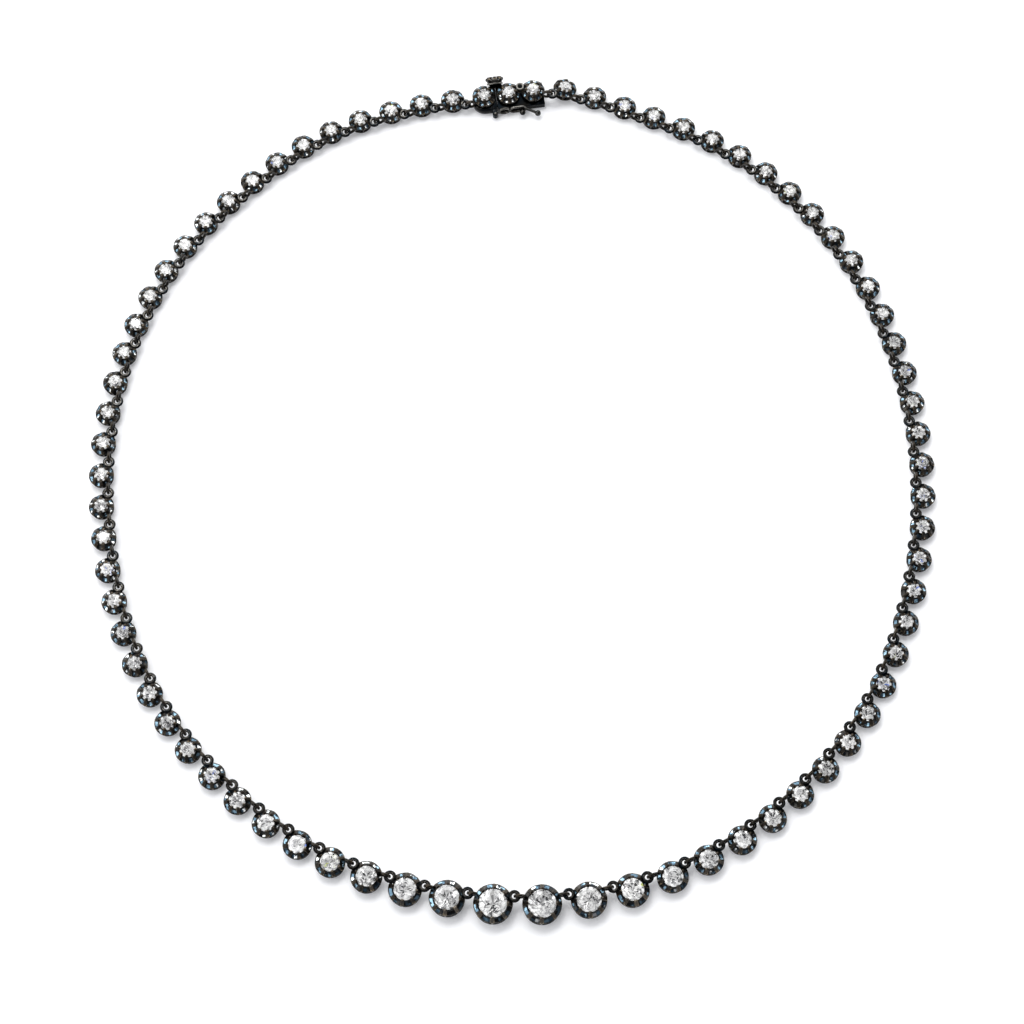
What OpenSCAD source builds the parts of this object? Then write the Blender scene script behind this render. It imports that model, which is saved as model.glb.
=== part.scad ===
// Riviere necklace: round stones in cut-down settings, graduated towards the front and joined by
// flat rings and upright loops, with a box clasp that has a push piece and a safety catch.
// It lies on a surface at z = 0. The front is towards -Y and the clasp towards +Y.

/* [Stones] */
// Diameter of the two largest stones, at the front centre
front_stone_d = 4.25; // [3.6:0.05:4.6]
// Diameter of the smallest stones, towards the clasp
back_stone_d = 2.3; // [2.1:0.05:2.6]
// Number of settings over which the extra size falls to about a third
taper_settings = 3.6; // [2:0.2:6]
// Settings on each side, from the front centre to the clasp
side_count = 37; // [30:1:40]
// Width of a stone's table, as a share of its diameter
table_share = 0.54; // [0.48:0.02:0.6]
// Height of a stone's crown, as a share of its diameter
crown_share = 0.17; // [0.14:0.01:0.2]
// Depth of a stone below its girdle, as a share of its diameter
pavilion_share = 0.43; // [0.4:0.01:0.46]
// Width of the small facet at a stone's point, as a share of its diameter
culet_share = 0.09; // [0.04:0.01:0.14]

/* [Settings] */
// Width of the metal round a stone
wall_w = 0.82; // [0.74:0.02:0.96]
// Fall of the sloping top, from the stone's edge to the setting's edge
bevel_drop = 0.4; // [0.3:0.02:0.46]
// Height of the foot ring
foot_h = 0.22; // [0.16:0.02:0.26]
// Step of the foot ring in from the edge
foot_inset = 0.15; // [0.1:0.01:0.2]
// Depth of the hollow between the ribs, in from the edge
waist_inset = 0.32; // [0.24:0.02:0.36]
// Clear height under a stone's point
culet_clear = 0.55; // [0.45:0.05:0.8]
// Number of claws round a stone
claw_count = 8; // [6:1:8]
// Width of a claw and of the rib below it
claw_w = 0.5; // [0.4:0.02:0.56]
// Height of a claw above the stone's girdle
claw_h = 0.32; // [0.28:0.02:0.4]
// Reach of a claw over the stone's edge
claw_reach = 0.14; // [0.1:0.02:0.16]
// Gap between a stone and the metal round it
seat_clear = 0.03; // [0.02:0.01:0.05]
// Greatest lean of a setting that lies loosely, in degrees
loose_lean = 2; // [0:0.5:3]
// Lean of the setting next to the clasp, which has rolled over, in degrees
rolled_lean = 12; // [0:1:14]

/* [Links] */
// Gap between neighbouring settings
link_gap = 1.35; // [1.25:0.05:1.6]
// Gap between them where the chain lies pushed together, next to the front on the left
close_gap = 1.15; // [1.1:0.05:1.35]
// Outer diameter of the flat rings
ring_d = 1.9; // [1.8:0.05:2.05]
// Thickness of the flat rings' wire
ring_wire = 0.46; // [0.4:0.02:0.5]
// Thickness of the upright loops' wire
loop_wire = 0.34; // [0.3:0.02:0.38]
// Distance of the links from the middle line, towards the neck
link_inset = 1.08; // [0.94:0.02:1.14]
// Distance of a flat ring's middle from the edge of its own setting
ring_out = 0.38; // [0.34:0.02:0.46]
// Depth of the links' middle below the stone's girdle
link_drop = 0.3; // [0.24:0.02:0.36]
// Clearance where a loop passes through a ring
link_clear = 0.1; // [0.1:0.01:0.14]
// Depth to which a loop is sunk in the setting that it is soldered to
solder_depth = 0.34; // [0.3:0.01:0.4]

/* [Clasp] */
// Gap between the settings on the clasp
clasp_gap = 0.18; // [0.12:0.02:0.3]
// Height of the box and of the tongue's block
box_h = 1.15; // [1.05:0.05:1.3]
// Thickness of the box's walls
box_wall = 0.25; // [0.2:0.01:0.3]
// Width of the box, from the middle line to its outer side
box_outer = 1.75; // [1.65:0.05:1.85]
// Width of the box, from the middle line to its side at the neck
box_inner = 2.45; // [2.35:0.05:2.6]
// Gap between the box and the tongue's block
joint_gap = 0.1; // [0.08:0.01:0.14]
// Thickness of the tongue's two leaves
leaf_t = 0.28; // [0.22:0.02:0.32]
// Running gap round the moving pieces
slip = 0.08; // [0.06:0.01:0.1]
// Diameter of the stone in the push piece
thumb_stone_d = 1.8; // [1.6:0.05:2]
// Width of the metal round that stone
thumb_wall = 0.65; // [0.6:0.01:0.7]
// Travel of the push piece
thumb_travel = 0.2; // [0.16:0.02:0.3]
// Tilt of the push piece's stone, up from level, in degrees
thumb_tilt = 28; // [0:2:30]
// Outer height of the safety catch's eyes
catch_h = 1.7; // [1.6:0.02:1.76]
// Thickness of the safety catch
catch_t = 0.4; // [0.34:0.02:0.44]
// Width of the metal round the eyes
catch_w = 0.34; // [0.3:0.01:0.36]
// Diameter of the safety catch's hinge pin
pin_d = 0.4; // [0.34:0.02:0.44]
// Radial gap between the hinge pin and its barrel
pin_clear = 0.05; // [0.03:0.01:0.06]
// Diameter of the ball that the safety catch snaps over
peg_ball_d = 0.84; // [0.76:0.02:0.86]
// Diameter of the ball at the free end of the safety catch
tip_ball_d = 0.8; // [0.7:0.02:0.9]

/* [Hidden] */
// Points that the chain passes, from the front centre towards the left side and all the way round
ROUTE = [
    [1, -62.5], [-18, -59.5], [-30, -54.5], [-43.5, -44.5], [-55.5, -29.5], [-61.5, -15],
    [-64, -2.5], [-64.5, 13.5], [-61, 30.5], [-55.5, 42.5], [-44, 56.5], [-31, 66.5],
    [-15.5, 72], [0, 74], [8, 75], [19.5, 71.5], [39.5, 61.5], [54.5, 45], [62.5, 26],
    [65, 7.5], [62.5, -13.5], [54.5, -33], [41, -48], [23.5, -58.5], [13, -61.5],
];
ROUTE_STEPS = 8;

// Settings on each side that are nodes of their own
NAMED = 8;
// Settings at the front whose flat rings point the other way
FLIPPED = 2;
// Links next to the front on the left that lie pushed together
PUSHED = 5;
// Direction in which the rolled setting leans
ROLLED_TOWARDS = 50;

SIDES = ["left", "right"];

METAL = "#3b3631";
STONE = "#eef4fb";

// Stations run from the left of the front centre round to the right of it, over the clasp
count = 2 * side_count + 3;
tongue_i = side_count;
middle_i = side_count + 1;
box_end_i = side_count + 2;
function on_clasp(i) = i >= tongue_i && i <= box_end_i;
function rank(i) = i < side_count ? i : count - 1 - i;
function stone_d(i) = on_clasp(i)
    ? back_stone_d
    : back_stone_d + (front_stone_d - back_stone_d) * exp(-rank(i) / taper_settings);
function setting_r(i) = stone_d(i) / 2 + wall_w;
clasp_pitch = 2 * setting_r(middle_i) + clasp_gap;
function after(i) = on_clasp(i) && on_clasp(i + 1)
    ? clasp_pitch
    : setting_r(i) + setting_r((i + 1) % count) + (i < PUSHED ? close_gap : link_gap);
along = [for (i = 0, s = after(count - 1) / 2; i < count; s = s + after(i), i = i + 1) s];
chain_l = along[count - 1] + after(count - 1) / 2;

// The route is a smooth closed curve through its points, stretched to the chain's own length
function point(k) = ROUTE[(k + len(ROUTE)) % len(ROUTE)];
function heading(k) =
    let (a = point(k) - point(k - 1), b = point(k + 1) - point(k), p = norm(a), q = norm(b))
    (b * p / q + a * q / p) / (p + q);
function curve(k, u) =
    let (a = point(k), b = point(k + 1), q = norm(b - a))
    a * (2 * u ^ 3 - 3 * u ^ 2 + 1) + heading(k) * q * (u ^ 3 - 2 * u ^ 2 + u)
    + b * (3 * u ^ 2 - 2 * u ^ 3) + heading(k + 1) * q * (u ^ 3 - u ^ 2);
steps = concat(
    [for (k = [0:len(ROUTE) - 1], j = [0:ROUTE_STEPS - 1]) curve(k, j / ROUTE_STEPS)],
    [point(0)]
);
last_step = len(steps) - 1;
miles = [for (k = 0, s = 0; k <= last_step;
    s = s + (k < last_step ? norm(steps[k + 1] - steps[k]) : 0), k = k + 1) s];
stretch = chain_l / miles[last_step];
function on_route(s) =
    let (t = s / stretch, k = [for (k = [0:last_step - 1]) if (miles[k] <= t && t < miles[k + 1]) k][0])
    let (u = (t - miles[k]) / (miles[k + 1] - miles[k]))
    (steps[k] + (steps[k + 1] - steps[k]) * u) * stretch;
function unit(v) = v / norm(v);
function bearing(v) = atan2(v.y, v.x);

clasp_dir = unit(on_route(along[box_end_i]) - on_route(along[tongue_i]));
clasp_out = [-clasp_dir.y, clasp_dir.x];
raw = [for (i = [0:count - 1]) on_clasp(i)
    ? on_route(along[middle_i]) + clasp_dir * clasp_pitch * (i - middle_i)
    : on_route(along[i])];

// Heights in a setting for a stone of diameter d whose point clears the base by under
function girdle_z(d, under) = under + pavilion_share * d;
function crown_slope() = 2 * crown_share / (1 - table_share);
function pavilion_slope() = 2 * pavilion_share / (1 - culet_share * cos(22.5));

// Places of the clasp's pieces, from the middle of its middle setting
clasp_base = box_h - 0.1;
clasp_under = 0.15;
ornament_y = 0.9;
ornament_z = clasp_base + girdle_z(back_stone_d, clasp_under) - link_drop + 0.08;
box_x0 = joint_gap / 2 - clasp_pitch / 2;
end_reach = setting_r(middle_i) - 0.22;
box_x1 = clasp_pitch + end_reach;
block_x1 = box_x0 - joint_gap;
block_r = end_reach + 0.25;
cavity_z0 = box_wall;
cavity_z1 = box_h - box_wall;
cavity_outer = box_outer - box_wall - 0.1;
cavity_inner = box_inner - box_wall - 0.1;
leaf_z0 = cavity_z0 + slip;
leaf_h = cavity_z1 - cavity_z0 - 2 * slip;
leaf_l = 5;
leaf_y = 0.72;
blade_y = -1.6;
thumb_r = thumb_stone_d / 2 + thumb_wall;
thumb_under = 0.2;
thumb_x = -clasp_pitch / 2 + 0.05;
thumb_y = setting_r(middle_i) + thumb_travel + slip + 0.18;
thumb_z = (thumb_r - foot_inset) * cos(thumb_tilt) + 0.05;
thumb_depth = girdle_z(thumb_stone_d, thumb_under) + claw_h;
thumb_front = thumb_y + thumb_depth * cos(thumb_tilt) + thumb_stone_d / 2 * sin(thumb_tilt);
stem_w = 0.4;
stem_x = box_x0 + stem_w + slip;
stem_y = thumb_y + (thumb_z - leaf_z0 - leaf_h / 2) * tan(thumb_tilt) + 0.12;
catch_z = catch_h / 2 + 0.05;
catch_y = -box_inner - slip - catch_t / 2;
peg_x = clasp_pitch * 0.47;
peg_d = 0.44;
eye_r = catch_h / 2;
hole_r = eye_r - catch_w;
ear_r = 0.45;
ear_t = 0.25;
ear_z0 = 0.1;
ear_z1 = box_h - ear_t;
hinge_x = block_x1 - ear_r - 0.05;
hinge_y = catch_y - 0.4;
tip = [clasp_pitch + 0.4, catch_y - 1.25];

// The origin is below the middle of the whole necklace
low_x = min([for (i = [0:count - 1]) raw[i].x - setting_r(i)]);
high_x = max([for (i = [0:count - 1]) raw[i].x + setting_r(i)]);
low_y = min([for (i = [0:count - 1]) raw[i].y - setting_r(i)]);
thumb_end = raw[middle_i] + clasp_dir * thumb_x + clasp_out * thumb_front;
high_y = max(concat([thumb_end.y + thumb_r * abs(clasp_dir.y)],
    [for (i = [0:count - 1]) raw[i].y + setting_r(i)]));
middle = [(low_x + high_x) / 2, (low_y + high_y) / 2];
place = [for (p = raw) p - middle];

// How each setting lies: a small lean, towards a direction that changes from one to the next
function lean(i) = i == box_end_i + 1 ? rolled_lean : loose_lean * abs(sin(97 * i));
function lean_towards(i) = i == box_end_i + 1 ? ROLLED_TOWARDS : 137.5 * i;
function lift(i) = (setting_r(i) - foot_inset) * sin(lean(i));
function turn(i) = bearing(place[(i + 1) % count] - place[(i + count - 1) % count]) + 5 * sin(61 * i);

// Links: the flat ring belongs to one setting of a pair and the upright loop to the other
function ring_owner(i) =
    i == count - 1 ? 0
    : i < side_count ? (i < FLIPPED ? i + 1 : i)
    : (count - 2 - i < FLIPPED ? i : i + 1);
ring_r = (ring_d - ring_wire) / 2;
function ring_x(r) = sqrt((r + ring_out) ^ 2 - link_inset ^ 2);
function wall_x(r) = sqrt(r ^ 2 - link_inset ^ 2);

// A wire ring whose ends meet at an angle, away from where it is soldered
module wire_ring(mean_r, wire, ends) {
    rotate([0, 0, ends]) rotate_extrude() translate([mean_r, 0]) circle(d = wire);
}

// The link after station i: one half is the ring, and the other half the loop through it
module link_half(i, own) {
    next = (i + 1) % count;
    owner = ring_owner(i);
    other = owner == i ? next : i;
    side = owner == i ? -1 : 1;
    step = place[other] - place[owner];
    x = ring_x(setting_r(owner));
    near = x + ring_d / 2 - ring_wire - link_clear - loop_wire;
    far = norm(step) - wall_x(setting_r(other)) + solder_depth;
    spot = unit(step) * x + [-unit(step).y, unit(step).x] * side * link_inset;
    slope = spot * [cos(lean_towards(owner)), sin(lean_towards(owner))] * sin(lean(owner));
    z = lift(owner) + girdle_z(stone_d(owner), culet_clear) - link_drop - slope;
    translate([place[owner].x, place[owner].y, z]) rotate([0, 0, bearing(step)]) {
        if (own == owner) {
            translate([x, side * link_inset, 0]) wire_ring(ring_r, ring_wire, 0);
        } else {
            translate([(near + far) / 2, side * link_inset, 0]) rotate([90, 0, 0])
                wire_ring((far - near - loop_wire) / 2, loop_wire, 180);
        }
    }
}

// A cut-down setting: a turned wall, hollow under the stone, with claws that run down as ribs
module cup(d, under, wall) {
    r = d / 2;
    edge = r + wall;
    girdle = girdle_z(d, under);
    edge_z = girdle - bevel_drop;
    seat_r = r + seat_clear;
    bore_r = 0.8 * r;
    bottom = foot_h / 2;
    tip_r = r - claw_reach;
    tip_z = girdle + claw_reach * crown_slope() + 2 * seat_clear;
    rotate_extrude() polygon([
        [bore_r, 0], [edge - foot_inset, 0], [edge - foot_inset, foot_h],
        [edge - waist_inset, foot_h + 0.05], [edge, edge_z], [seat_r, girdle],
        [bore_r, girdle - 1.1 * (seat_r - bore_r) * pavilion_slope()],
    ]);
    for (k = [0:claw_count - 1]) rotate([90, 0, k * 360 / claw_count]) translate([0, 0, -claw_w / 2])
        linear_extrude(claw_w) polygon([
            [bore_r + 0.15, bottom], [edge - foot_inset - 0.03, bottom], [edge - 0.06, edge_z + 0.1],
            [r + 0.2, girdle + claw_h], [tip_r, girdle + claw_h - 0.03], [tip_r, tip_z],
            [seat_r + 0.08, girdle + 0.02], [seat_r + 0.12, girdle - 0.15],
        ]);
}

// A round old-cut stone: table, stars, kites, sharp girdle and pavilion, with its point at z = 0
module brilliant(d) {
    r = d / 2;
    star_r = 0.78 * r;
    low_r = 0.55 * r;
    girdle = pavilion_share * d;
    function ring(n, radius, z, start) =
        [for (k = [0:n - 1]) [radius * cos(start + k * 360 / n), radius * sin(start + k * 360 / n), z]];
    star_z = girdle + (r - star_r * cos(22.5)) * crown_slope();
    low_z = girdle - (r - low_r * cos(22.5)) * pavilion_slope();
    points = concat(
        ring(8, table_share * r, girdle + crown_share * d, 0), ring(8, star_r, star_z, 22.5),
        ring(16, r, girdle, 0), ring(8, low_r, low_z, 22.5), ring(8, culet_share * r, 0, 22.5)
    );
    faces = concat(
        [[for (k = [7:-1:0]) k]],
        [for (k = [0:7]) let (n = (k + 1) % 8) [k, n, 8 + k]],
        [for (k = [0:7]) let (n = (k + 7) % 8) [k, 8 + k, 16 + 2 * k, 8 + n]],
        [for (k = [0:7]) [8 + k, 17 + 2 * k, 16 + 2 * k]],
        [for (k = [0:7]) [8 + k, 16 + (2 * k + 2) % 16, 17 + 2 * k]],
        [for (k = [0:7]) [32 + k, 16 + 2 * k, 17 + 2 * k]],
        [for (k = [0:7]) [32 + k, 17 + 2 * k, 16 + (2 * k + 2) % 16]],
        [for (k = [0:7]) let (n = (k + 7) % 8) [16 + 2 * k, 32 + k, 40 + k, 40 + n, 32 + n]],
        [[for (k = [0:7]) 40 + k]]
    );
    polyhedron(points, faces);
}

// Puts a piece that stands on station i where it lies, with its lean
module lying(i) {
    translate([place[i].x, place[i].y, lift(i)]) rotate([0, 0, lean_towards(i)])
        rotate([0, lean(i), 0]) rotate([0, 0, turn(i) - lean_towards(i)]) children();
}

module setting(i) {
    color(METAL) {
        lying(i) cup(stone_d(i), culet_clear, wall_w);
        link_half(i, i);
        link_half((i + count - 1) % count, i);
    }
}

module stone(i) {
    color(STONE) lying(i) translate([0, 0, culet_clear]) brilliant(stone_d(i));
}

// The clasp's own frame: x along it towards the box's end, y away from the neck
module on_clasp_frame() {
    translate([place[middle_i].x, place[middle_i].y, 0]) rotate([0, 0, bearing(clasp_dir)]) children();
}

module clasp_cup(k) {
    translate([k * clasp_pitch, 0, clasp_base]) cup(back_stone_d, clasp_under, wall_w);
}

module clasp_stone(k) {
    color(STONE) on_clasp_frame() translate([k * clasp_pitch, 0, clasp_base + clasp_under])
        brilliant(back_stone_d);
}

module slab(x0, x1, y0, y1, z0, z1) {
    translate([x0, y0, z0]) cube([x1 - x0, y1 - y0, z1 - z0]);
}

// The box, open at one end for the tongue and notched for the push piece's stem
module clasp_box() {
    color(METAL) {
        on_clasp_frame() {
            difference() {
                slab(box_x0, box_x1, -box_inner, box_outer, 0, box_h);
                slab(box_x0 - 1, box_x0 + leaf_l + 1, -cavity_inner, cavity_outer, cavity_z0, cavity_z1);
                slab(box_x0 - 1, stem_x + stem_w / 2 + slip, 0, box_outer + 1, cavity_z0, cavity_z1);
            }
            clasp_cup(0);
            clasp_cup(1);
            translate([clasp_pitch / 2, ornament_y, ornament_z]) wire_ring(0.55, 0.36, 90);
            translate([peg_x, -box_inner + 0.1, catch_z]) rotate([90, 0, 0])
                cylinder(d = peg_d, h = catch_t + 2 * slip + 0.1 + peg_ball_d / 2);
            translate([peg_x, catch_y - catch_t / 2 - slip - peg_ball_d / 2, catch_z])
                sphere(d = peg_ball_d);
        }
        link_half(box_end_i, box_end_i);
    }
}

// The tongue's block with its setting, its fixed leaf and the safety catch's hinge
module clasp_tongue() {
    color(METAL) {
        on_clasp_frame() {
            translate([-clasp_pitch, block_r - box_inner, 0]) cylinder(r = block_r, h = box_h);
            slab(-clasp_pitch, block_x1, -box_inner, box_outer, 0, box_h);
            slab(block_x1 - 0.2, box_x0 + leaf_l, blade_y, blade_y + leaf_t, leaf_z0, leaf_z0 + leaf_h);
            clasp_cup(-1);
            for (z = [ear_z0, ear_z1]) {
                translate([hinge_x, hinge_y, z]) cylinder(r = ear_r, h = ear_t);
                slab(hinge_x - ear_r, hinge_x + ear_r, hinge_y, 0.2 - box_inner, z, z + ear_t);
            }
            translate([hinge_x, hinge_y, ear_z0 + 0.05])
                cylinder(d = pin_d, h = box_h - ear_z0 + 0.05);
        }
        link_half(tongue_i - 1, tongue_i);
    }
}

// The push piece: a small setting on its side, with a stem to the tongue's moving leaf
module push_piece() {
    color(METAL) on_clasp_frame() {
        translate([thumb_x, thumb_y, thumb_z]) rotate([thumb_tilt - 90, 0, 0]) {
            cup(thumb_stone_d, thumb_under, thumb_wall);
            cylinder(r = thumb_r - foot_inset - 0.1, h = thumb_under);
        }
        slab(stem_x - stem_w / 2, stem_x + stem_w / 2, leaf_y, stem_y, leaf_z0, leaf_z0 + leaf_h);
        slab(stem_x - stem_w / 2, box_x0 + leaf_l, leaf_y, leaf_y + leaf_t, leaf_z0, leaf_z0 + leaf_h);
    }
}

module push_piece_stone() {
    color(STONE) on_clasp_frame() translate([thumb_x, thumb_y, thumb_z]) rotate([thumb_tilt - 90, 0, 0])
        translate([0, 0, thumb_under]) brilliant(thumb_stone_d);
}

// A long eye of the safety catch, between two round ends
module eye(x0, x1) {
    difference() {
        union() {
            for (x = [x0, x1]) translate([x, 0, 0]) cylinder(r = eye_r, h = catch_t, center = true);
            slab(x0, x1, -eye_r, eye_r, -catch_t / 2, catch_t / 2);
        }
        for (x = [x0, x1]) translate([x, 0, 0]) cylinder(r = hole_r, h = 2 * catch_t, center = true);
        slab(x0, x1, -hole_r, hole_r, -catch_t, catch_t);
    }
}

// The figure-eight safety catch, which turns outwards about its upright pin
module safety_catch() {
    waist = (peg_x + hinge_x) / 2 + 0.2;
    barrel_z0 = ear_z0 + ear_t + slip / 2;
    barrel_z1 = ear_z1 - slip / 2;
    bar = [tip.x - peg_x - hole_r - 0.1, tip.y - catch_y];
    color(METAL) on_clasp_frame() {
        translate([0, catch_y, catch_z]) rotate([90, 0, 0]) {
            eye(hinge_x + ear_r + 0.1 + eye_r, waist + 0.1 - eye_r);
            eye(waist - 0.1 + eye_r, peg_x);
        }
        difference() {
            union() {
                translate([hinge_x, hinge_y, barrel_z0]) cylinder(r = ear_r, h = barrel_z1 - barrel_z0);
                slab(hinge_x, hinge_x + ear_r + 0.35, catch_y - catch_t / 2 + 0.02, catch_y + 0.1,
                    barrel_z0, barrel_z1);
            }
            translate([hinge_x, hinge_y, 0]) cylinder(r = pin_d / 2 + pin_clear, h = box_h);
        }
        translate([peg_x + hole_r + 0.1, catch_y, catch_z]) rotate([0, 0, bearing(bar)])
            rotate([0, 90, 0]) cylinder(d = catch_t - 0.06, h = norm(bar));
        translate([tip.x, tip.y, catch_z]) sphere(d = tip_ball_d);
    }
}

// Stations of the named settings on a side, and of the rest of that side
function named_i(side, k) = side == "left" ? k - 1 : count - k;
function rest_i(side) = side == "left"
    ? [for (i = [NAMED:side_count - 1]) i]
    : [for (i = [box_end_i + 1:count - 1 - NAMED]) i];

for (side = SIDES, k = [1:NAMED]) {
    setting(named_i(side, k));
    stone(named_i(side, k));
}
for (side = SIDES) {
    for (i = rest_i(side)) setting(i);
    for (i = rest_i(side)) stone(i);
}
clasp_box();
clasp_tongue();
push_piece();
safety_catch();
clasp_stone(-1);  // stone_clasp_left
clasp_stone(0);  // stone_clasp_middle
clasp_stone(1);  // stone_clasp_right
push_piece_stone();  // stone_push_piece
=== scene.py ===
"""Finishes the riviere necklace: turned and cut settings, old-cut stones, wire links and the box clasp."""

import math

import bpy
import numpy as np
from bpy.props import FloatProperty, FloatVectorProperty, PointerProperty
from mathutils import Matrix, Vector


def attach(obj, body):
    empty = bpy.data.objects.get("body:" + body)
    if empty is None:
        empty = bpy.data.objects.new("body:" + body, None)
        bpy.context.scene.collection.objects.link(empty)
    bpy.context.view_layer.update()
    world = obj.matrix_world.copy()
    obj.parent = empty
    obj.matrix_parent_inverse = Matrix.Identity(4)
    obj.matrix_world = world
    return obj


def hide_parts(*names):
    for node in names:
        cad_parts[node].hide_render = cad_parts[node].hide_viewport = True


bl_info = {
    "name": "Riviere necklace",
    "version": (1, 0, 0),
    "blender": (4, 5, 0),
    "location": "View3D > Sidebar > Riviere",
    "description": "Dresses the packed necklace with cut settings, stones, links and its clasp",
    "category": "Object",
}

MM = 0.001
X, Y, Z = np.eye(3)
SIDES = ("left", "right")

# Settings of a side, and how many of them are nodes of their own. The clasp's three stand between the two
# sides.
CHAIN_SIDE, LARGE = 37, 8
TONGUE, MIDDLE, BOX_END = CHAIN_SIDE, CHAIN_SIDE + 1, CHAIN_SIDE + 2

# Finishes of the metal and of the stones, in the order of their materials. The rim finish is worn metal,
# and on the catch, the box's small ring and the push piece's wall it is also a painted highlight.
BLACKENED, CLAW, BRIGHT_CUT, RIM_WEAR_AND_HIGHLIGHT = range(4)
CROWN, PAVILION = range(2)
METAL_FINISHES = ("blackened_metal", "worn_claw", "bright_cut", "worn_rim_painted_highlight")
STONE_FINISHES = ("stone_crown", "stone_pavilion")

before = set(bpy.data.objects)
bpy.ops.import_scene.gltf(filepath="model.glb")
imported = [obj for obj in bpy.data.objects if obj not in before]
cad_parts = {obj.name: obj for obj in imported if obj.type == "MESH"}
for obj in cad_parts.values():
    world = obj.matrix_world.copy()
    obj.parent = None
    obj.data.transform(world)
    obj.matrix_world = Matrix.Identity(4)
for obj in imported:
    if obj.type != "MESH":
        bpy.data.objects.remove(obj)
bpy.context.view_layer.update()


class RiviereSizes(bpy.types.PropertyGroup):
    """Sizes of the settings, the links and the stones.

    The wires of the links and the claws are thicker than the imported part's, as the photograph shows them.
    """

    wall: FloatProperty(
        name="Wall", description="From the stone's edge to the setting's edge",
        default=0.82 * MM, unit="LENGTH",
    )
    bevel: FloatProperty(
        name="Bevel", description="How far the top slopes down to the setting's edge",
        default=0.4 * MM, unit="LENGTH",
    )
    claw: FloatProperty(
        name="Claw width", description="Width of a claw of the large settings where it is widest",
        default=0.72 * MM, unit="LENGTH",
    )
    claw_rise: FloatProperty(
        name="Claw height", description="Height of the claws over the stone's edge",
        default=0.33 * MM, unit="LENGTH",
    )
    groove: FloatProperty(
        name="Groove", description="Depth of the cut between two claws of a small setting",
        default=0.2 * MM, unit="LENGTH",
    )
    ring: FloatProperty(
        name="Flat ring", description="Outer diameter of the flat rings", default=1.9 * MM, unit="LENGTH",
    )
    ring_wire: FloatProperty(
        name="Ring wire", description="Wire diameter of the flat rings", default=0.57 * MM, unit="LENGTH",
    )
    loop_wire: FloatProperty(
        name="Loop wire", description="Wire height of the upright loops", default=0.42 * MM, unit="LENGTH",
    )
    loop_width: FloatProperty(
        name="Loop width", description="Width of the upright loops' wire, seen from above",
        default=0.46 * MM, unit="LENGTH",
    )
    jitter: FloatProperty(
        name="Hand cut", description="How far the facets of a stone differ from a regular cut",
        default=0.045, min=0, max=0.2,
    )


class RiviereColours(bpy.types.PropertyGroup):
    """Colours of the metal's finishes and of the stones."""

    black: FloatVectorProperty(
        name="Blackened", description="The blackened metal", default=(0.034, 0.033, 0.031), subtype="COLOR",
    )
    blue_black: FloatVectorProperty(
        name="Blue black", description="The colder patches of the blackened metal",
        default=(0.016, 0.024, 0.033), subtype="COLOR",
    )
    claw: FloatVectorProperty(
        name="Claws", description="The claws, where the black is half worn away",
        default=(0.058, 0.050, 0.041), subtype="COLOR",
    )
    rubbed: FloatVectorProperty(
        name="Rubbed", description="Edges and tops that are rubbed back to the metal",
        default=(0.25, 0.235, 0.210), subtype="COLOR",
    )
    rubbed_claw: FloatVectorProperty(
        name="Rubbed claws", description="The warmer metal where a claw is worn",
        default=(0.36, 0.28, 0.18), subtype="COLOR",
    )
    cut: FloatVectorProperty(
        name="Bright cut", description="The bright faces between the claws",
        default=(0.80, 0.83, 0.83), subtype="COLOR",
    )
    # Painted reflection: the blue that some bright-cut faces show
    cut_blue_reflection: FloatVectorProperty(
        name="Blue cut", description="Cut faces that are tarnished blue",
        default=(0.27, 0.41, 0.51), subtype="COLOR",
    )
    # Painted reflection: the dark grey-blue of bright-cut faces drawn as unlit
    cut_dark_reflection: FloatVectorProperty(
        name="Dull cut", description="Cut faces that have gone dull and dark",
        default=(0.11, 0.18, 0.24), subtype="COLOR",
    )
    # The rim colour is worn metal, and on the catch, the box's small ring and the push piece's wall a painted
    # highlight
    rim_and_highlight: FloatVectorProperty(
        name="Rim", description="The thin outer edge of the settings",
        default=(0.15, 0.145, 0.135), subtype="COLOR",
    )
    stone: FloatVectorProperty(
        name="Stone", description="The stones' body colour", default=(1.0, 1.0, 1.0), subtype="COLOR",
    )
    floor: FloatVectorProperty(
        name="Floor", description="The pale floor", default=(0.90, 0.91, 0.93), subtype="COLOR",
    )


def sizes():
    """The sizes as the panel shows them, in metres."""
    return bpy.context.scene.riviere_sizes


def colours():
    """The colours as the panel shows them."""
    return bpy.context.scene.riviere_colours


# Shapes. Points are in mm until a piece is put in the scene.


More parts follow.
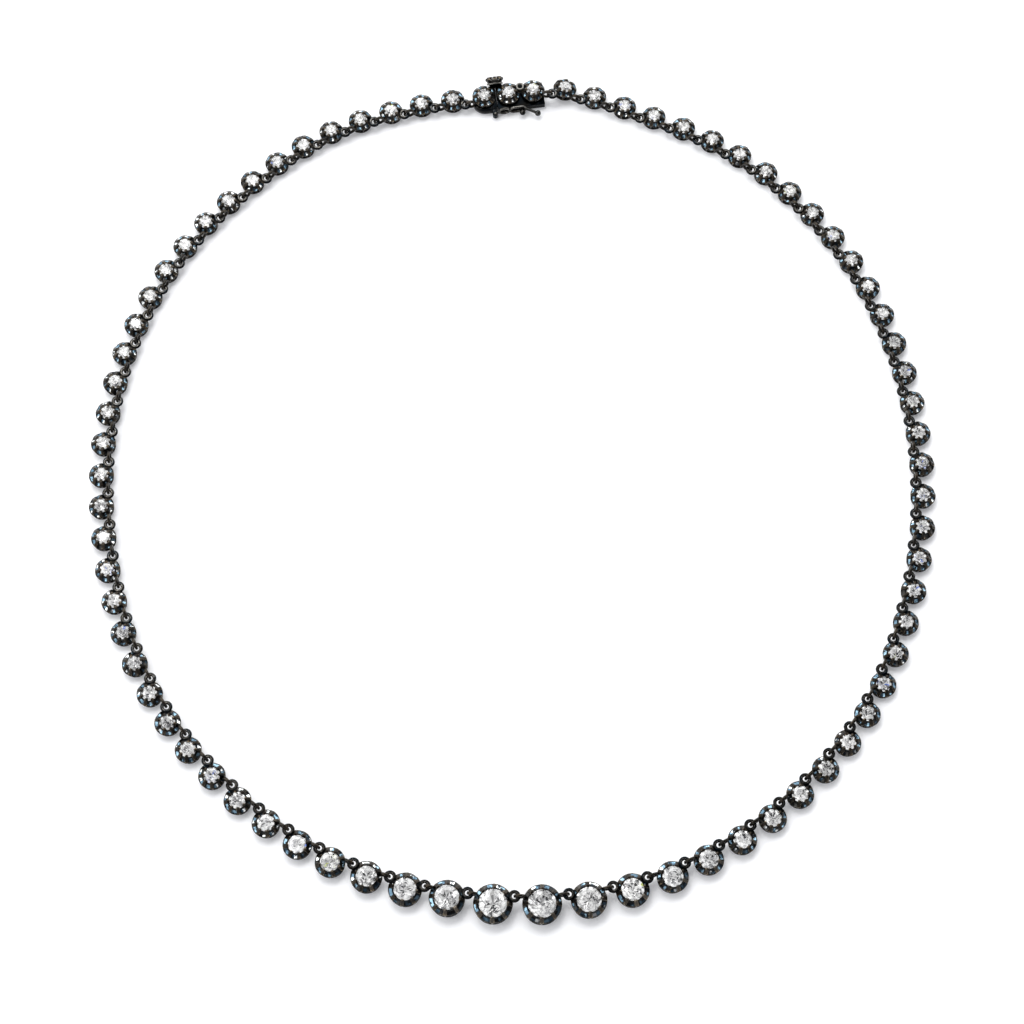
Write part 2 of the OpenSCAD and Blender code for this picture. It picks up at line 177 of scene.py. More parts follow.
def skin(rings, joined=False, finish=BLACKENED, wear_and_shade=0.0, cut=0.0):
    """Closed skin over a grid of points, rows by columns: point (i, j) is joined to (i+1, j) and (i, j+1).

    The columns close round. The rows close round too where joined is set, and otherwise each end row is
    closed by a fan to its middle. finish and cut hold for faces and the wear value, whose low values give
    painted shade, for points, each a number or a grid.
    """
    rows, columns = rings.shape[:2]
    steps = rows if joined else rows - 1
    i, j = np.arange(steps)[:, None], np.arange(columns)[None, :]
    a, b = i * columns + j, i * columns + (j + 1) % columns
    below = (i + 1) % rows * columns
    d, c = below + j, below + (j + 1) % columns
    faces = np.stack([a, b, c, a, c, d], -1).reshape(-1, 3)
    points = rings.reshape(-1, 3)
    wear_and_shade = np.broadcast_to(np.asarray(wear_and_shade, float), (rows, columns)).reshape(-1)
    finish = np.repeat(np.broadcast_to(finish, (steps, columns)).reshape(-1), 2)
    cut = np.repeat(np.broadcast_to(np.asarray(cut, float), (steps, columns)).reshape(-1), 2)
    if not joined:
        first, last = rows * columns, rows * columns + 1
        end_row = (rows - 1) * columns
        here, after = np.arange(columns), (np.arange(columns) + 1) % columns
        start_fan = np.stack([np.full(columns, first), after, here], -1)
        end_fan = np.stack([np.full(columns, last), end_row + here, end_row + after], -1)
        faces = np.concatenate([faces, start_fan, end_fan])
        finish = np.concatenate([finish, np.full(columns, finish[0]), np.full(columns, finish[-1])])
        cut = np.concatenate([cut, np.full(columns, cut[0]), np.full(columns, cut[-1])])
        points = np.concatenate([points, [rings[0].mean(0), rings[-1].mean(0)]])
        wear_and_shade = np.concatenate([wear_and_shade, [wear_and_shade[:columns].mean(), wear_and_shade[-columns:].mean()]])
    return outward({"points": points, "faces": faces, "finish": finish, "cut": cut, "wear_and_shade": wear_and_shade})


def outward(shape):
    """Turns a closed shape's faces outwards, so that the sum of a . (b x c) over triangles is positive."""
    a, b, c = (shape["points"][shape["faces"][:, k]] for k in range(3))
    if np.einsum("ij,ij->i", a, np.cross(b, c)).sum() < 0:
        shape["faces"] = shape["faces"][:, ::-1]
    return shape


def moved(shape, stand):
    """The shape carried from its own frame to where it stands: point = place + x*ex + y*ey + z*ez."""
    return {**shape, "points": stand["place"] + shape["points"] @ stand["axes"]}


def toned(shape, tone):
    """The shape with one tone on all its faces: low is dark, 1 a little over the metal's own colour."""
    return {**shape, "tone": np.full(len(shape["faces"]), tone)}


def together(shapes):
    """One shape from several, with their faces renumbered."""
    start = np.cumsum([0] + [len(s["points"]) for s in shapes[:-1]])
    made = {k: np.concatenate([s[k] for s in shapes]) for k in ("points", "finish", "cut", "wear_and_shade")}
    made["faces"] = np.concatenate([s["faces"] + k for s, k in zip(shapes, start)])
    made["tone"] = np.concatenate([s.get("tone", np.full(len(s["faces"]), 0.5)) for s in shapes])
    return made


def ring(centre, a, b, mean_r, wire, wear_and_shade, finish=BLACKENED):
    """A wire ring: a circle of radius wire / 2 carried round one of radius mean_r in the plane of a and b."""
    t = np.linspace(0, 2 * np.pi, 30, endpoint=False)[:, None, None]
    s = np.linspace(0, 2 * np.pi, len(CREST_WEAR_AND_HIGHLIGHT), endpoint=False)[None, :, None]
    out = np.cos(t) * a + np.sin(t) * b
    points = centre + out * (mean_r + wire / 2 * np.cos(s)) + np.cross(a, b) * wire / 2 * np.sin(s)
    return skin(points, joined=True, wear_and_shade=wear_and_shade, finish=finish)


def turned(profile, around, wear_and_shade, joined=False):
    """A solid of revolution about z: each (radius, z) becomes a circle. A joined profile makes a tube."""
    profile = np.asarray(profile, float)
    t = np.linspace(0, 2 * np.pi, around, endpoint=False)[None, :]
    radius, z = profile[:, :1], np.repeat(profile[:, 1:], around, 1)
    rings = np.stack([radius * np.cos(t), radius * np.sin(t), z], -1)
    wear_and_shade = np.broadcast_to(np.asarray(wear_and_shade, float), len(profile))
    return skin(rings, joined=joined, wear_and_shade=wear_and_shade[:, None])


def ball(d):
    """A sphere as a solid of revolution of a half circle, more worn on top, with painted shade underneath."""
    t = np.linspace(-np.pi / 2 + 0.06, np.pi / 2 - 0.06, 15)
    return turned(np.stack([d / 2 * np.cos(t), d / 2 * np.sin(t)], -1), 28, wear_and_shade=0.35 + 0.3 * np.sin(t))


def rounded(half_x, half_y, radius):
    """Outline of a rectangle with rounded corners: a quarter circle round each corner's centre."""
    corners = []
    for sx, sy, quarter in ((1, 1, 0), (-1, 1, 1), (-1, -1, 2), (1, -1, 3)):
        t = np.linspace(0, np.pi / 2, 5) + quarter * np.pi / 2
        x = sx * (half_x - radius) + radius * np.cos(t)
        y = sy * (half_y - radius) + radius * np.sin(t)
        corners.append(np.stack([x, y], -1))
    return np.concatenate(corners)


def block(outline, z0, z1, edge):
    """An outline raised from z0 to z1, shrunk near each end along a quarter circle to round the edges."""
    outline = np.asarray(outline, float)
    middle = (outline.min(0) + outline.max(0)) / 2
    reach = (outline.max(0) - outline.min(0)) / 2
    t = np.array([0.0, 0.5, 1.0]) * np.pi / 2
    inset = np.concatenate([edge * (1 - np.sin(t)), edge * (1 - np.cos(t))])
    z = np.concatenate([z0 + edge * (1 - np.cos(t)), z1 - edge * (1 - np.sin(t))])
    shrink = 1 - inset[:, None] / reach
    flat = middle + (outline - middle)[None] * shrink[:, None]
    rings = np.concatenate([flat, np.repeat(z[:, None, None], len(outline), 1)], -1)
    return skin(rings, wear_and_shade=np.array([0.4, 0.4, 0.1, 0.1, 0.4, 0.4])[:, None])


def strand(path, width, height, side, finish):
    """A flattened wire carried round a closed path.

    Its section is width / 2 * |cos|^(3/4) along the path's own normal and height / 2 * |sin|^(3/4) along
    side, an ellipse with fuller corners, which are its most worn lines.
    """
    ahead = np.roll(path, -1, 0) - np.roll(path, 1, 0)
    ahead /= np.linalg.norm(ahead, axis=1)[:, None]
    out = np.cross(ahead, side)
    s = np.linspace(0, 2 * np.pi, 12, endpoint=False)
    p, q = (np.abs(wave) ** 0.75 * np.sign(wave) for wave in (np.cos(s), np.sin(s)))
    wear_and_shade = 0.2 + 0.5 * np.abs(p * q)
    p, q = p[None, :, None] * width / 2, q[None, :, None] * height / 2
    points = path[:, None] + out[:, None] * p + side * q
    return skin(points, joined=True, wear_and_shade=wear_and_shade[None, :], finish=finish)


# A setting

# Columns of one eighth of a setting, in degrees from a claw's middle. The groove's lowest line is at
# HALF_GAP.
COLUMNS = np.array([0, 6, 10, 14, 18.5, 22.5, 26.5, 31, 35, 39])
HALF_GAP = 22.5
CLAWS = 8

# Rows of a collet's profile at which a face of the rim starts, and those at which a bright-cut one does
RIM_ROWS = slice(10, 12)
CUT_ROWS = (13, 14)


def smallness(r):
    """How small a stone is, from 0 at a radius of 2 mm to 1 at 1.3 mm."""
    return float(np.clip((2.0 - r) / 0.7, 0, 1))


def collet(r, wall, girdle, bevel, neck, painted_shine, draw):
    """A turned wall with its sloping top, hollow under the stone.

    The profile is turned about z. Between two claws each point of the top sinks by its row's share of depth
    * (1 - angle from the groove's middle / half of the gap), so two flat faces meet in a V, and the rows
    make the slope hollow. The faces towards the neck, at the angle neck, are the ones most often painted
    bright as a highlight, and shine from 0 to 1 paints more of them bright. Small settings are cut more deeply.
    """
    s = sizes()
    edge, seat, bore = r + wall, r + 0.03, 0.8 * r
    edge_z = girdle - bevel
    small = smallness(r)
    depth = s.groove / MM * (0.35 + 0.65 * small)
    hollow = 0.10 - 0.05 * small

    def slope(share):
        return edge + (seat - edge) * share, edge_z + bevel * share

    waist = 0.27
    # Radius, height, share of the groove's depth and wear of each row, from the bore round the outside to
    # the seat. The foot's high wear is both worn metal and a painted highlight, and rows of 0 under and round
    # the stone get painted shade
    rows = [
        (bore, 0.04, 0, 0), (bore + 0.04, 0, 0, 0), (edge - 0.21, 0, 0, 0.8), (edge - 0.155, 0.05, 0, 0.9),
        (edge - 0.15, 0.17, 0, 0.8), (edge - 0.18, 0.215, 0, 0.7), (edge - 0.32, waist, 0, 0.1),
        (edge - 0.26, waist + 0.35 * (edge_z - waist), 0, 0),
        (edge - 0.12, waist + 0.72 * (edge_z - waist), 0.1, 0.1),
        (edge - 0.02, edge_z - 0.07, 0.75, 0.2), (edge, edge_z - 0.02, 1, 0.3),
        (edge - 0.03, edge_z + 0.03, 1, 0.4), (edge - 0.09, edge_z + 0.05, 1, 0.4),
    ]
    for share, drop, weight in ((0.2, 0.6, 1.0), (0.46, 1.0, 0.8), (0.72, 1.3, 0.4)):
        rho, z = slope(share)
        rows.append((rho, z - drop * hollow, weight, 0))
    rows += [
        (seat + 0.17, girdle - 0.085, 0.15, 0.1), (seat + 0.10, girdle + 0.03, 0, 0.3),
        (seat + 0.03, girdle + 0.035, 0, 0.3), (seat, girdle - 0.01, 0, 0),
        (bore, girdle - 1.1 * (seat - bore) * PAVILION_SLOPE, 0, 0),
    ]
    rows = np.array(rows)
    finish = np.full(len(rows), BLACKENED)
    finish[RIM_ROWS] = RIM_WEAR_AND_HIGHLIGHT
    finish[list(CUT_ROWS)] = BRIGHT_CUT
    angle = (np.arange(CLAWS)[:, None] * 2 * HALF_GAP + COLUMNS[None, :]).reshape(-1)
    off = np.abs(np.tile(COLUMNS, CLAWS) - HALF_GAP)
    half_claw = math.degrees(math.asin(min(0.9, claw_width(r) / 2 / (r + wall / 2))))
    groove = np.clip(1 - off / (HALF_GAP - half_claw), 0, 1)
    rho = np.repeat(rows[:, :1], len(angle), 1)
    z = rows[:, 1:2] - depth * rows[:, 2:3] * groove[None, :]
    t = np.radians(angle)[None, :]
    rings = np.stack([rho * np.cos(t), rho * np.sin(t), z], -1)

    # Each groove has two faces. A face is painted with a reflection, white (0), blue (0.3), dull (0.6) or black
    # (1), and some of them are bright only in their outer row (form 1) or near the groove's middle (form 2).
    # Faces towards the neck, and more of them where the setting's shine is high, get the painted highlights.
    halves, steps = 2 * CLAWS, len(COLUMNS) // 2
    middles = np.radians(np.arange(halves) * HALF_GAP + HALF_GAP / 2 - neck)
    bright = 0.12 + 0.15 * small + 0.3 * painted_shine + 0.3 * np.clip(np.cos(middles), 0, 1)
    chance, hue = draw.uniform(0, 1, halves), draw.uniform(0, 1, halves)
    lit = np.where(hue < 0.32 + 0.12 * painted_shine, 0.0, np.where(hue < 0.88, 0.3, 0.6))
    unlit = draw.choice([0.3, 0.6, 1.0], halves, p=[0.12, 0.53, 0.35])
    pick = np.repeat(np.where(chance < bright, lit, unlit), steps)
    form = np.repeat(draw.integers(0, 4, halves), steps)
    beside_claw = np.tile([0, 1, 2, 3, 4, 4, 3, 2, 1, 0], CLAWS) < 3
    narrow = (form == 2) & beside_claw
    cut = np.ones((len(rows), len(angle)))
    cut[CUT_ROWS[0]] = np.where(narrow, 1.0, pick)
    cut[CUT_ROWS[1]] = np.where((form == 1) | narrow, 1.0, pick)
    return skin(rings, joined=True, finish=finish[:, None], wear_and_shade=rows[:, 3:4], cut=cut)


def claw_width(r):
    """Claws are narrower on the small settings."""
    return sizes().claw / MM * (0.86 + 0.14 * float(np.clip((r - 1.2) / 0.7, 0, 1)))


def claw(r, wall, girdle, bevel, width, stretch, ribbed):
    """A claw that runs down the wall as a rib.

    Two lines go from the foot over the edge and up to the stone, one on the outside and one buried. At each
    row the outside line is carried across by q from -1 to 1, and its height over the buried line falls as
    (1 - q^4)^(1/4), which gives steep sides and a rounded back. The claws of the smallest settings reach
    further over the stone.
    """
    rise = sizes().claw_rise / MM
    edge, edge_z = r + wall, girdle - bevel
    mid = (edge + r) / 2
    half_z = girdle - bevel / 2
    smallest = float(np.clip((1.45 - r) / 0.25, 0, 1))
    tip = (0.09 + 0.11 * smallest) * stretch
    lift = 0.055 * smallest
    flank = 0.3 + 0.55 * (edge_z - 0.3)
    outside = np.array([
        (edge - 0.20, 0.10), (edge - 0.145, 0.15), (edge - 0.15, 0.30), (edge - 0.10, flank),
        (edge - 0.025, edge_z - 0.05), (edge - 0.012, edge_z + 0.08), (edge - 0.09, edge_z + 0.19),
        (mid, half_z + rise * 0.86), (r + 0.20, girdle + rise), (r + 0.02, girdle + rise),
        (r - tip * 0.75, girdle + rise * 0.86 + lift), (r - tip * 1.2, girdle + 0.21 + lift),
    ])
    inside = np.array([
        (edge - 0.32, 0.10), (edge - 0.45, 0.15), (edge - 0.50, 0.30), (edge - 0.45, flank),
        (edge - 0.36, edge_z - 0.1), (edge - 0.33, edge_z - 0.06), (edge - 0.32, edge_z - 0.05),
        (mid, half_z - 0.25), (r + 0.20, girdle - 0.12), (r + 0.06, girdle + 0.03),
        (r - tip * 0.7, girdle + 0.125 + lift), (r - tip * 1.1, girdle + 0.16 + lift),
    ])
    if not ribbed:
        outside[:4, 0] -= 0.2
    share = np.array([0.68, 0.76, 0.6, 0.62, 0.88, 1, 1.02, 0.99, 0.95, 0.9, 0.78, 0.5])
    wear_and_shade = np.array([0.8, 0.85, 0.35, 0.2, 0.55, 0.75, 0.55, 0.3, 0.35, 0.45, 0.55, 0.3])
    q = np.array([-1, -0.985, -0.88, -0.6, 0, 0.6, 0.88, 0.985, 1])
    height = (1 - q**4) ** 0.25
    line = inside[:, None] + (outside - inside)[:, None] * height[None, :, None]
    across = share[:, None] * q[None, :] * width / 2
    edge_rub = np.array([0, 0, 0.3, 0.1, 0, 0.1, 0.3, 0, 0])
    # Painted shade: the claw's sides, where they meet the wall, have no wear and so go dark
    side_painted_shade = np.array([-1, -0.6, 0, 0, 0, 0, 0, -0.6, -1])
    wear_and_shade = np.clip(wear_and_shade[:, None] + edge_rub + side_painted_shade, 0, 1)
    return skin(np.stack([line[..., 0], across, line[..., 1]], -1), finish=CLAW, wear_and_shade=wear_and_shade)


def cup(r, wall, girdle, seed, neck=0.0, painted_shine=0.5, bevel=None, ribbed=True):
    """A setting: the turned wall and its eight claws, each a little different. Small settings are darker."""
    draw = np.random.default_rng(seed)
    bevel = bevel or sizes().bevel / MM
    small = smallness(r)
    made = [toned(collet(r, wall, girdle, bevel, neck, painted_shine, draw), draw.uniform(0.5, 0.9) - 0.42 * small)]
    for k in range(CLAWS):
        width, stretch = claw_width(r) * draw.uniform(0.93, 1.06), draw.uniform(0.85, 1.12)
        one = claw(r, wall, girdle, bevel, width, stretch, ribbed)
        t = math.radians(2 * HALF_GAP * k + draw.uniform(-1.5, 1.5))
        axes = np.array([[math.cos(t), math.sin(t), 0], [-math.sin(t), math.cos(t), 0], [0, 0, 1]])
        tone = draw.choice([0.4, 0.6, 0.8, 1.0], p=[0.3, 0.35, 0.25, 0.1]) * (1 - 0.62 * small)
        made.append(toned(moved(one, {"place": np.zeros(3), "axes": axes}), tone))
    return together(made)


# A stone. Depths are shares of its diameter, slopes are heights over widths, and MITRE is cos 22.5 degrees:
# how far out the middle of a facet's side lies, as a share of its corners' radius.
PAVILION_DEPTH, CROWN_HEIGHT = 0.43, 0.17
CROWN_SLOPE, PAVILION_SLOPE = 0.7391, 0.9381
MITRE = 0.924

# Radius of each ring of corners, as a share of the stone's
TABLE, STARS, LOWER, INNER, CULET = 0.54, 0.78, 0.58, 0.36, 0.09


def circle(n, radius, z, start, draw, jitter):
    """Corners on a circle, each moved inwards and round it by a small drawn share."""
    t = np.radians(start + np.arange(n) * 360 / n) + draw.uniform(-0.6, 0.6, n) * jitter
    radius = radius * (1 - draw.uniform(0, 1.2, n) * jitter)
    return np.stack([radius * np.cos(t), radius * np.sin(t), np.full(n, z)], -1)


def old_cut(r, seed, painted_shine):
    """An old-cut stone with its lowest point at z = 0.

    Rings of corners are joined by triangles: the table, the stars, the edge, the lower facets, the inner
    facets and the culet. A ring's height follows from its radius and the slope of the crown or of the
    pavilion.
    """
    draw = np.random.default_rng(seed)
    jitter = sizes().jitter
    girdle = PAVILION_DEPTH * 2 * r
    table = girdle + CROWN_HEIGHT * 2 * r

    def over(share):
        return girdle + r * (1 - share * MITRE) * CROWN_SLOPE

    def under(share):
        return girdle - r * (1 - share * MITRE) * PAVILION_SLOPE

    points = np.concatenate([
        circle(8, TABLE * r, table, 0, draw, jitter),
        circle(8, STARS * r, over(STARS), 22.5, draw, jitter),
        circle(16, r, girdle, 0, draw, 0),
        circle(8, LOWER * r, under(LOWER), 22.5, draw, jitter * 1.5),
        circle(8, INNER * r, under(0.39), 0, draw, jitter * 2),
        circle(8, CULET * r, 0.0, 22.5, draw, 0),
        [[0, 0, table], [0, 0, 0]],
    ])

    # Corners by number: the table's ring starts at 0, the stars' at 8, the edge's at 16, the lower facets'
    # at 32, the inner ones' at 40 and the culet's at 48. The last two are the middles of the table and of
    # the culet.
    k = np.arange(8)
    after, before = (k + 1) % 8, (k + 7) % 8
    star, low, inner, culet = 8 + k, 32 + k, 40 + k, 48 + k
    edge_0, edge_1, edge_2 = 16 + 2 * k, 17 + 2 * k, 16 + (2 * k + 2) % 16
    top, bottom = np.full(8, 56), np.full(8, 57)
    crown_faces = [
        (top, k, after), (k, star, after), (k, edge_0, star),
        (k, 8 + before, edge_0), (star, edge_0, edge_1), (star, edge_1, edge_2),
    ]
    pavilion_faces = [
        (low, edge_1, edge_0), (low, edge_2, edge_1), (edge_0, inner, low),
        (edge_0, 32 + before, inner), (low, inner, culet), (low, culet, 40 + after),
        (inner, 48 + before, culet), (bottom, culet, 48 + before),
    ]
    faces = np.concatenate([np.stack(f, -1) for f in crown_faces + pavilion_faces])
    finish = np.repeat([CROWN, PAVILION], [8 * len(crown_faces), 8 * len(pavilion_faces)])

    # A facet is painted with its reflection: white, pale, grey or nearly black, more often white where the
    # setting's shine is high, and a very few with painted blue or yellow fire
    bright = 0.42 + 0.20 * painted_shine
    chances = [bright, 0.16, 0.5 - 0.6 * bright, 0.34 - 0.4 * bright]
    grey = draw.choice([1.0, 0.85, 0.45, 0.05], len(faces), p=chances)
    fire = draw.choice([0.0, 0.5, 1.0], len(faces), p=[0.995, 0.003, 0.002])
    shape = {"points": points, "faces": faces, "finish": finish, "wear_and_shade": np.zeros(len(points))}
    return outward({**shape, "cut": fire, "tone": grey})


# Where each setting stands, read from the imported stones. A stone's lowest point is this far over its
# setting's base.
CHAIN_UNDER, CLASP_UNDER, PUSH_UNDER = 0.55, 0.15, 0.2


def solids_of(name):
    """Corners of each closed solid of a CAD node, in mm.

    Corners at one place are merged. Each then takes the lowest number in its triangles, again and again,
    until every solid has one number.
    """
    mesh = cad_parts[name].data
    co = np.empty(len(mesh.vertices) * 3, np.float32)
    mesh.vertices.foreach_get("co", co)
    corner = np.empty(len(mesh.loops), np.int32)
    mesh.loops.foreach_get("vertex_index", corner)
    points, where = np.unique(co.reshape(-1, 3), axis=0, return_inverse=True)
    faces = where.reshape(-1)[corner].reshape(-1, 3)
    label = np.arange(len(points))
    while True:
        lower = label.copy()
        np.minimum.at(lower, faces.reshape(-1), np.repeat(label[faces].min(1), 3))
        if (lower == label).all():
            break
        label = lower
    return [points[label == k].astype(float) / MM for k in np.unique(label)]


def standing(points, under):
    """Where a setting stands, from its stone's corners.

    The axis is the direction in which the corners spread least, turned so that the longer, pointed side is
    below. The stone's edge is its 16 widest corners, and the direction to a corner of the table is that of
    a claw.
    """
    middle = points.mean(0)
    axis = np.linalg.eigh(np.cov((points - middle).T))[1][:, 0]
    along = (points - middle) @ axis
    reach = np.linalg.norm(points - middle - along[:, None] * axis, axis=1)
    edge = np.argsort(reach)[-16:]
    centre = points[edge].mean(0)
    height = (points - centre) @ axis
    if height.max() > -height.min():
        axis, height = -axis, -height
    corner = points[np.argmax(height)] - centre
    ex = corner - corner @ axis * axis
    ex /= np.linalg.norm(ex)
    r = float(reach[edge].mean())
    girdle = under + PAVILION_DEPTH * 2 * r
    axes = np.stack([ex, np.cross(axis, ex), axis])
    return {"place": centre - axis * girdle, "axes": axes, "r": r, "girdle": girdle, "under": under}


def all_stations():
    """All settings clockwise round the necklace, from the front's middle, and the push piece's."""
    found = []
    for side in SIDES:
        for k in range(1, LARGE + 1):
            found += [standing(p, CHAIN_UNDER) for p in solids_of(f"stone_{side}_{k}")]
        found += [standing(p, CHAIN_UNDER) for p in solids_of(f"stones_{side}")]
    for name in ("left", "middle", "right"):
        found += [standing(p, CLASP_UNDER) for p in solids_of(f"stone_clasp_{name}")]
    angle = [math.atan2(-s["place"][0], -s["place"][1]) % (2 * math.pi) for s in found]
    order = np.argsort(angle)
    return [found[i] for i in order], standing(solids_of("stone_push_piece")[0], PUSH_UNDER)


STATIONS, PUSH = all_stations()
COUNT = len(STATIONS)


def ring_owner(i):
    """Which of stations i and i+1 carries the flat ring. The front pairs point the other way."""
    if i == COUNT - 1:
        return 0
    if i < CHAIN_SIDE:
        return i + 1 if i < 2 else i
    return i if COUNT - 2 - i < 2 else i + 1


# The line of the links, in mm: how far towards the neck it lies from the settings' middles, and how far
# under the stones' edges. Then a flat ring's middle outside its wall, a loop's end inside the next wall,
# and their clearance.
LINK_INSET, LINK_DROP = 1.08, 0.3
RING_OUT, LOOP_IN, LINK_PLAY = 0.38, 0.34, 0.1

# Wear and a painted highlight round a ring's wire in ten steps: a thin pale line on its upper side
CREST_WEAR_AND_HIGHLIGHT = np.array([0.0, 0.0, 0.2, 1.0, 0.0, 0.0, 0.0, 0.0, 0.0, 0.0])


def link_half(i, own):
    """The half of the link after station i that is soldered to station own: a flat ring or an upright loop.

    The loop stands upright in the line of the links and passes through the ring.
    """
    s = sizes()
    wall, outer, wire, loop = s.wall / MM, s.ring / MM, s.ring_wire / MM, s.loop_wire / MM
    nxt = (i + 1) % COUNT
    owner = ring_owner(i)
    other = nxt if owner == i else i
    side = -1 if owner == i else 1
    here, there = STATIONS[owner], STATIONS[other]
    step = (there["place"] - here["place"])[:2]
    long = np.linalg.norm(step)
    ahead = np.array([*(step / long), 0])
    across = np.array([-ahead[1], ahead[0], 0])
    x = math.sqrt((here["r"] + wall + RING_OUT) ** 2 - LINK_INSET**2)
    near = x + outer / 2 - wire - LINK_PLAY - loop
    far = long - math.sqrt((there["r"] + wall) ** 2 - LINK_INSET**2) + LOOP_IN
    spot = ahead * x + across * side * LINK_INSET
    z = here["place"][2] + here["girdle"] - LINK_DROP - spot[:2] @ here["axes"][2][:2]
    base = np.array([here["place"][0], here["place"][1], z]) + across * side * LINK_INSET
    if own == owner:
        return ring(base + ahead * x, ahead, across, (outer - wire) / 2, wire, wear_and_shade=CREST_WEAR_AND_HIGHLIGHT)
    t = np.linspace(0, 2 * np.pi, 28, endpoint=False)[:, None]
    path = base + ahead * (near + far) / 2 + (np.cos(t) * ahead + np.sin(t) * Z) * (far - near - loop) / 2
    return strand(path, loop, s.loop_width / MM, across, finish=CLAW)


def painted_shine(stand):
    """How much painted highlight a setting gets, 0 to 1, most on the left. x and y are taken in steps of 50 mm.
    """
    x, y = stand["place"][:2] / 50
    return float(np.clip(0.55 - 0.45 * x + 0.1 * y, 0, 1))


def standing_cup(i):
    """Setting i where it stands, with the direction of the neck in its own frame."""
    s = STATIONS[i]
    inwards = -s["axes"] @ s["place"]
    neck = math.degrees(math.atan2(inwards[1], inwards[0]))
    return moved(cup(s["r"], sizes().wall / MM, s["girdle"], 100 + i, neck, painted_shine(s)), s)


def setting(i):
    """Setting i with its two link halves."""
    body = standing_cup(i)
    return together([body, toned(link_half(i, i), 0.3), toned(link_half((i - 1) % COUNT, i), 0.4)])


def stone(stand, seed):
    """A stone in its setting: its lowest point stands clear of the setting's base."""
    shape = old_cut(stand["r"], seed, painted_shine(stand))
    return moved({**shape, "points": shape["points"] + [0, 0, stand["under"]]}, stand)


def own_stone(i):
    """The stone of setting i."""
    return stone(STATIONS[i], 500 + i)


# Materials. The finish attribute of a piece holds cut, wear with painted shade, and tone in its red,
# green and blue. On the stones the red and blue hold the painted fire and the painted reflections.


def add(tree, kind, inputs=None, **settings):
    """Adds a node. inputs gives a value or a socket for each of its inputs, by name or number."""
    made = tree.nodes.new(kind)
    for key, value in settings.items():
        setattr(made, key, value)
    for key, value in (inputs or {}).items():
        if isinstance(value, bpy.types.NodeSocket):
            tree.links.new(value, made.inputs[key])
        else:
            made.inputs[key].default_value = value
    return made


def opaque(colour):
    return (*colour, 1.0)


def object_place(tree):
    return add(tree, "ShaderNodeTexCoord").outputs["Object"]


def finish_of(tree):
    """Cut, wear with painted shade, and tone from the finish attribute."""
    finish = add(tree, "ShaderNodeAttribute", attribute_name="finish").outputs["Color"]
    part = add(tree, "ShaderNodeSeparateColor", {"Color": finish})
    return [part.outputs[name] for name in ("Red", "Green", "Blue")]


def plus(tree, a, b):
    return add(tree, "ShaderNodeMath", {0: a, 1: b}, operation="ADD").outputs[0]


def times(tree, a, b):
    return add(tree, "ShaderNodeMath", {0: a, 1: b}, operation="MULTIPLY").outputs[0]


def noise(tree, where, scale, detail=3.0, roughness=0.55):
    """Soft noise, with scale features to the metre."""
    inputs = {"Vector": where, "Scale": scale, "Detail": detail, "Roughness": roughness}
    return add(tree, "ShaderNodeTexNoise", inputs).outputs["Fac"]


def between(tree, value, low, high):
    """0 below low and 1 above high, with a smooth step between."""
    inputs = {"Value": value, "From Min": low, "From Max": high}
    return add(tree, "ShaderNodeMapRange", inputs, interpolation_type="SMOOTHSTEP").outputs["Result"]


def spread(tree, value, low, high):
    """From low at 0 to high at 1, in a straight line."""
    return add(tree, "ShaderNodeMapRange", {"Value": value, "To Min": low, "To Max": high}).outputs["Result"]


def mixed(tree, share, a, b, blend="MIX"):
    """Two colours mixed: a alone where share is 0, and b or the blend of both where it is 1."""
    made = add(tree, "ShaderNodeMix", {"Factor": share}, data_type="RGBA", blend_type=blend)
    for key, value in (("A", a), ("B", b)):
        socket = next(s for s in made.inputs if s.name == key and s.type == "RGBA")
        if isinstance(value, bpy.types.NodeSocket):
            tree.links.new(value, socket)
        else:
            socket.default_value = value
    return next(s for s in made.outputs if s.type == "RGBA")


def material(name, metallic):
    """A new material: its node tree and its Principled shader."""
    made = bpy.data.materials.new(name)
    made.use_nodes = True
    shader = made.node_tree.nodes["Principled BSDF"]
    shader.inputs["Metallic"].default_value = metallic
    return made.node_tree, shader


def relief(tree, shader, height, strength, distance):
    """A bumped surface, distance metres deep."""
    bump = add(tree, "ShaderNodeBump", {"Strength": strength, "Distance": distance, "Height": height})
    tree.links.new(bump.outputs["Normal"], shader.inputs["Normal"])


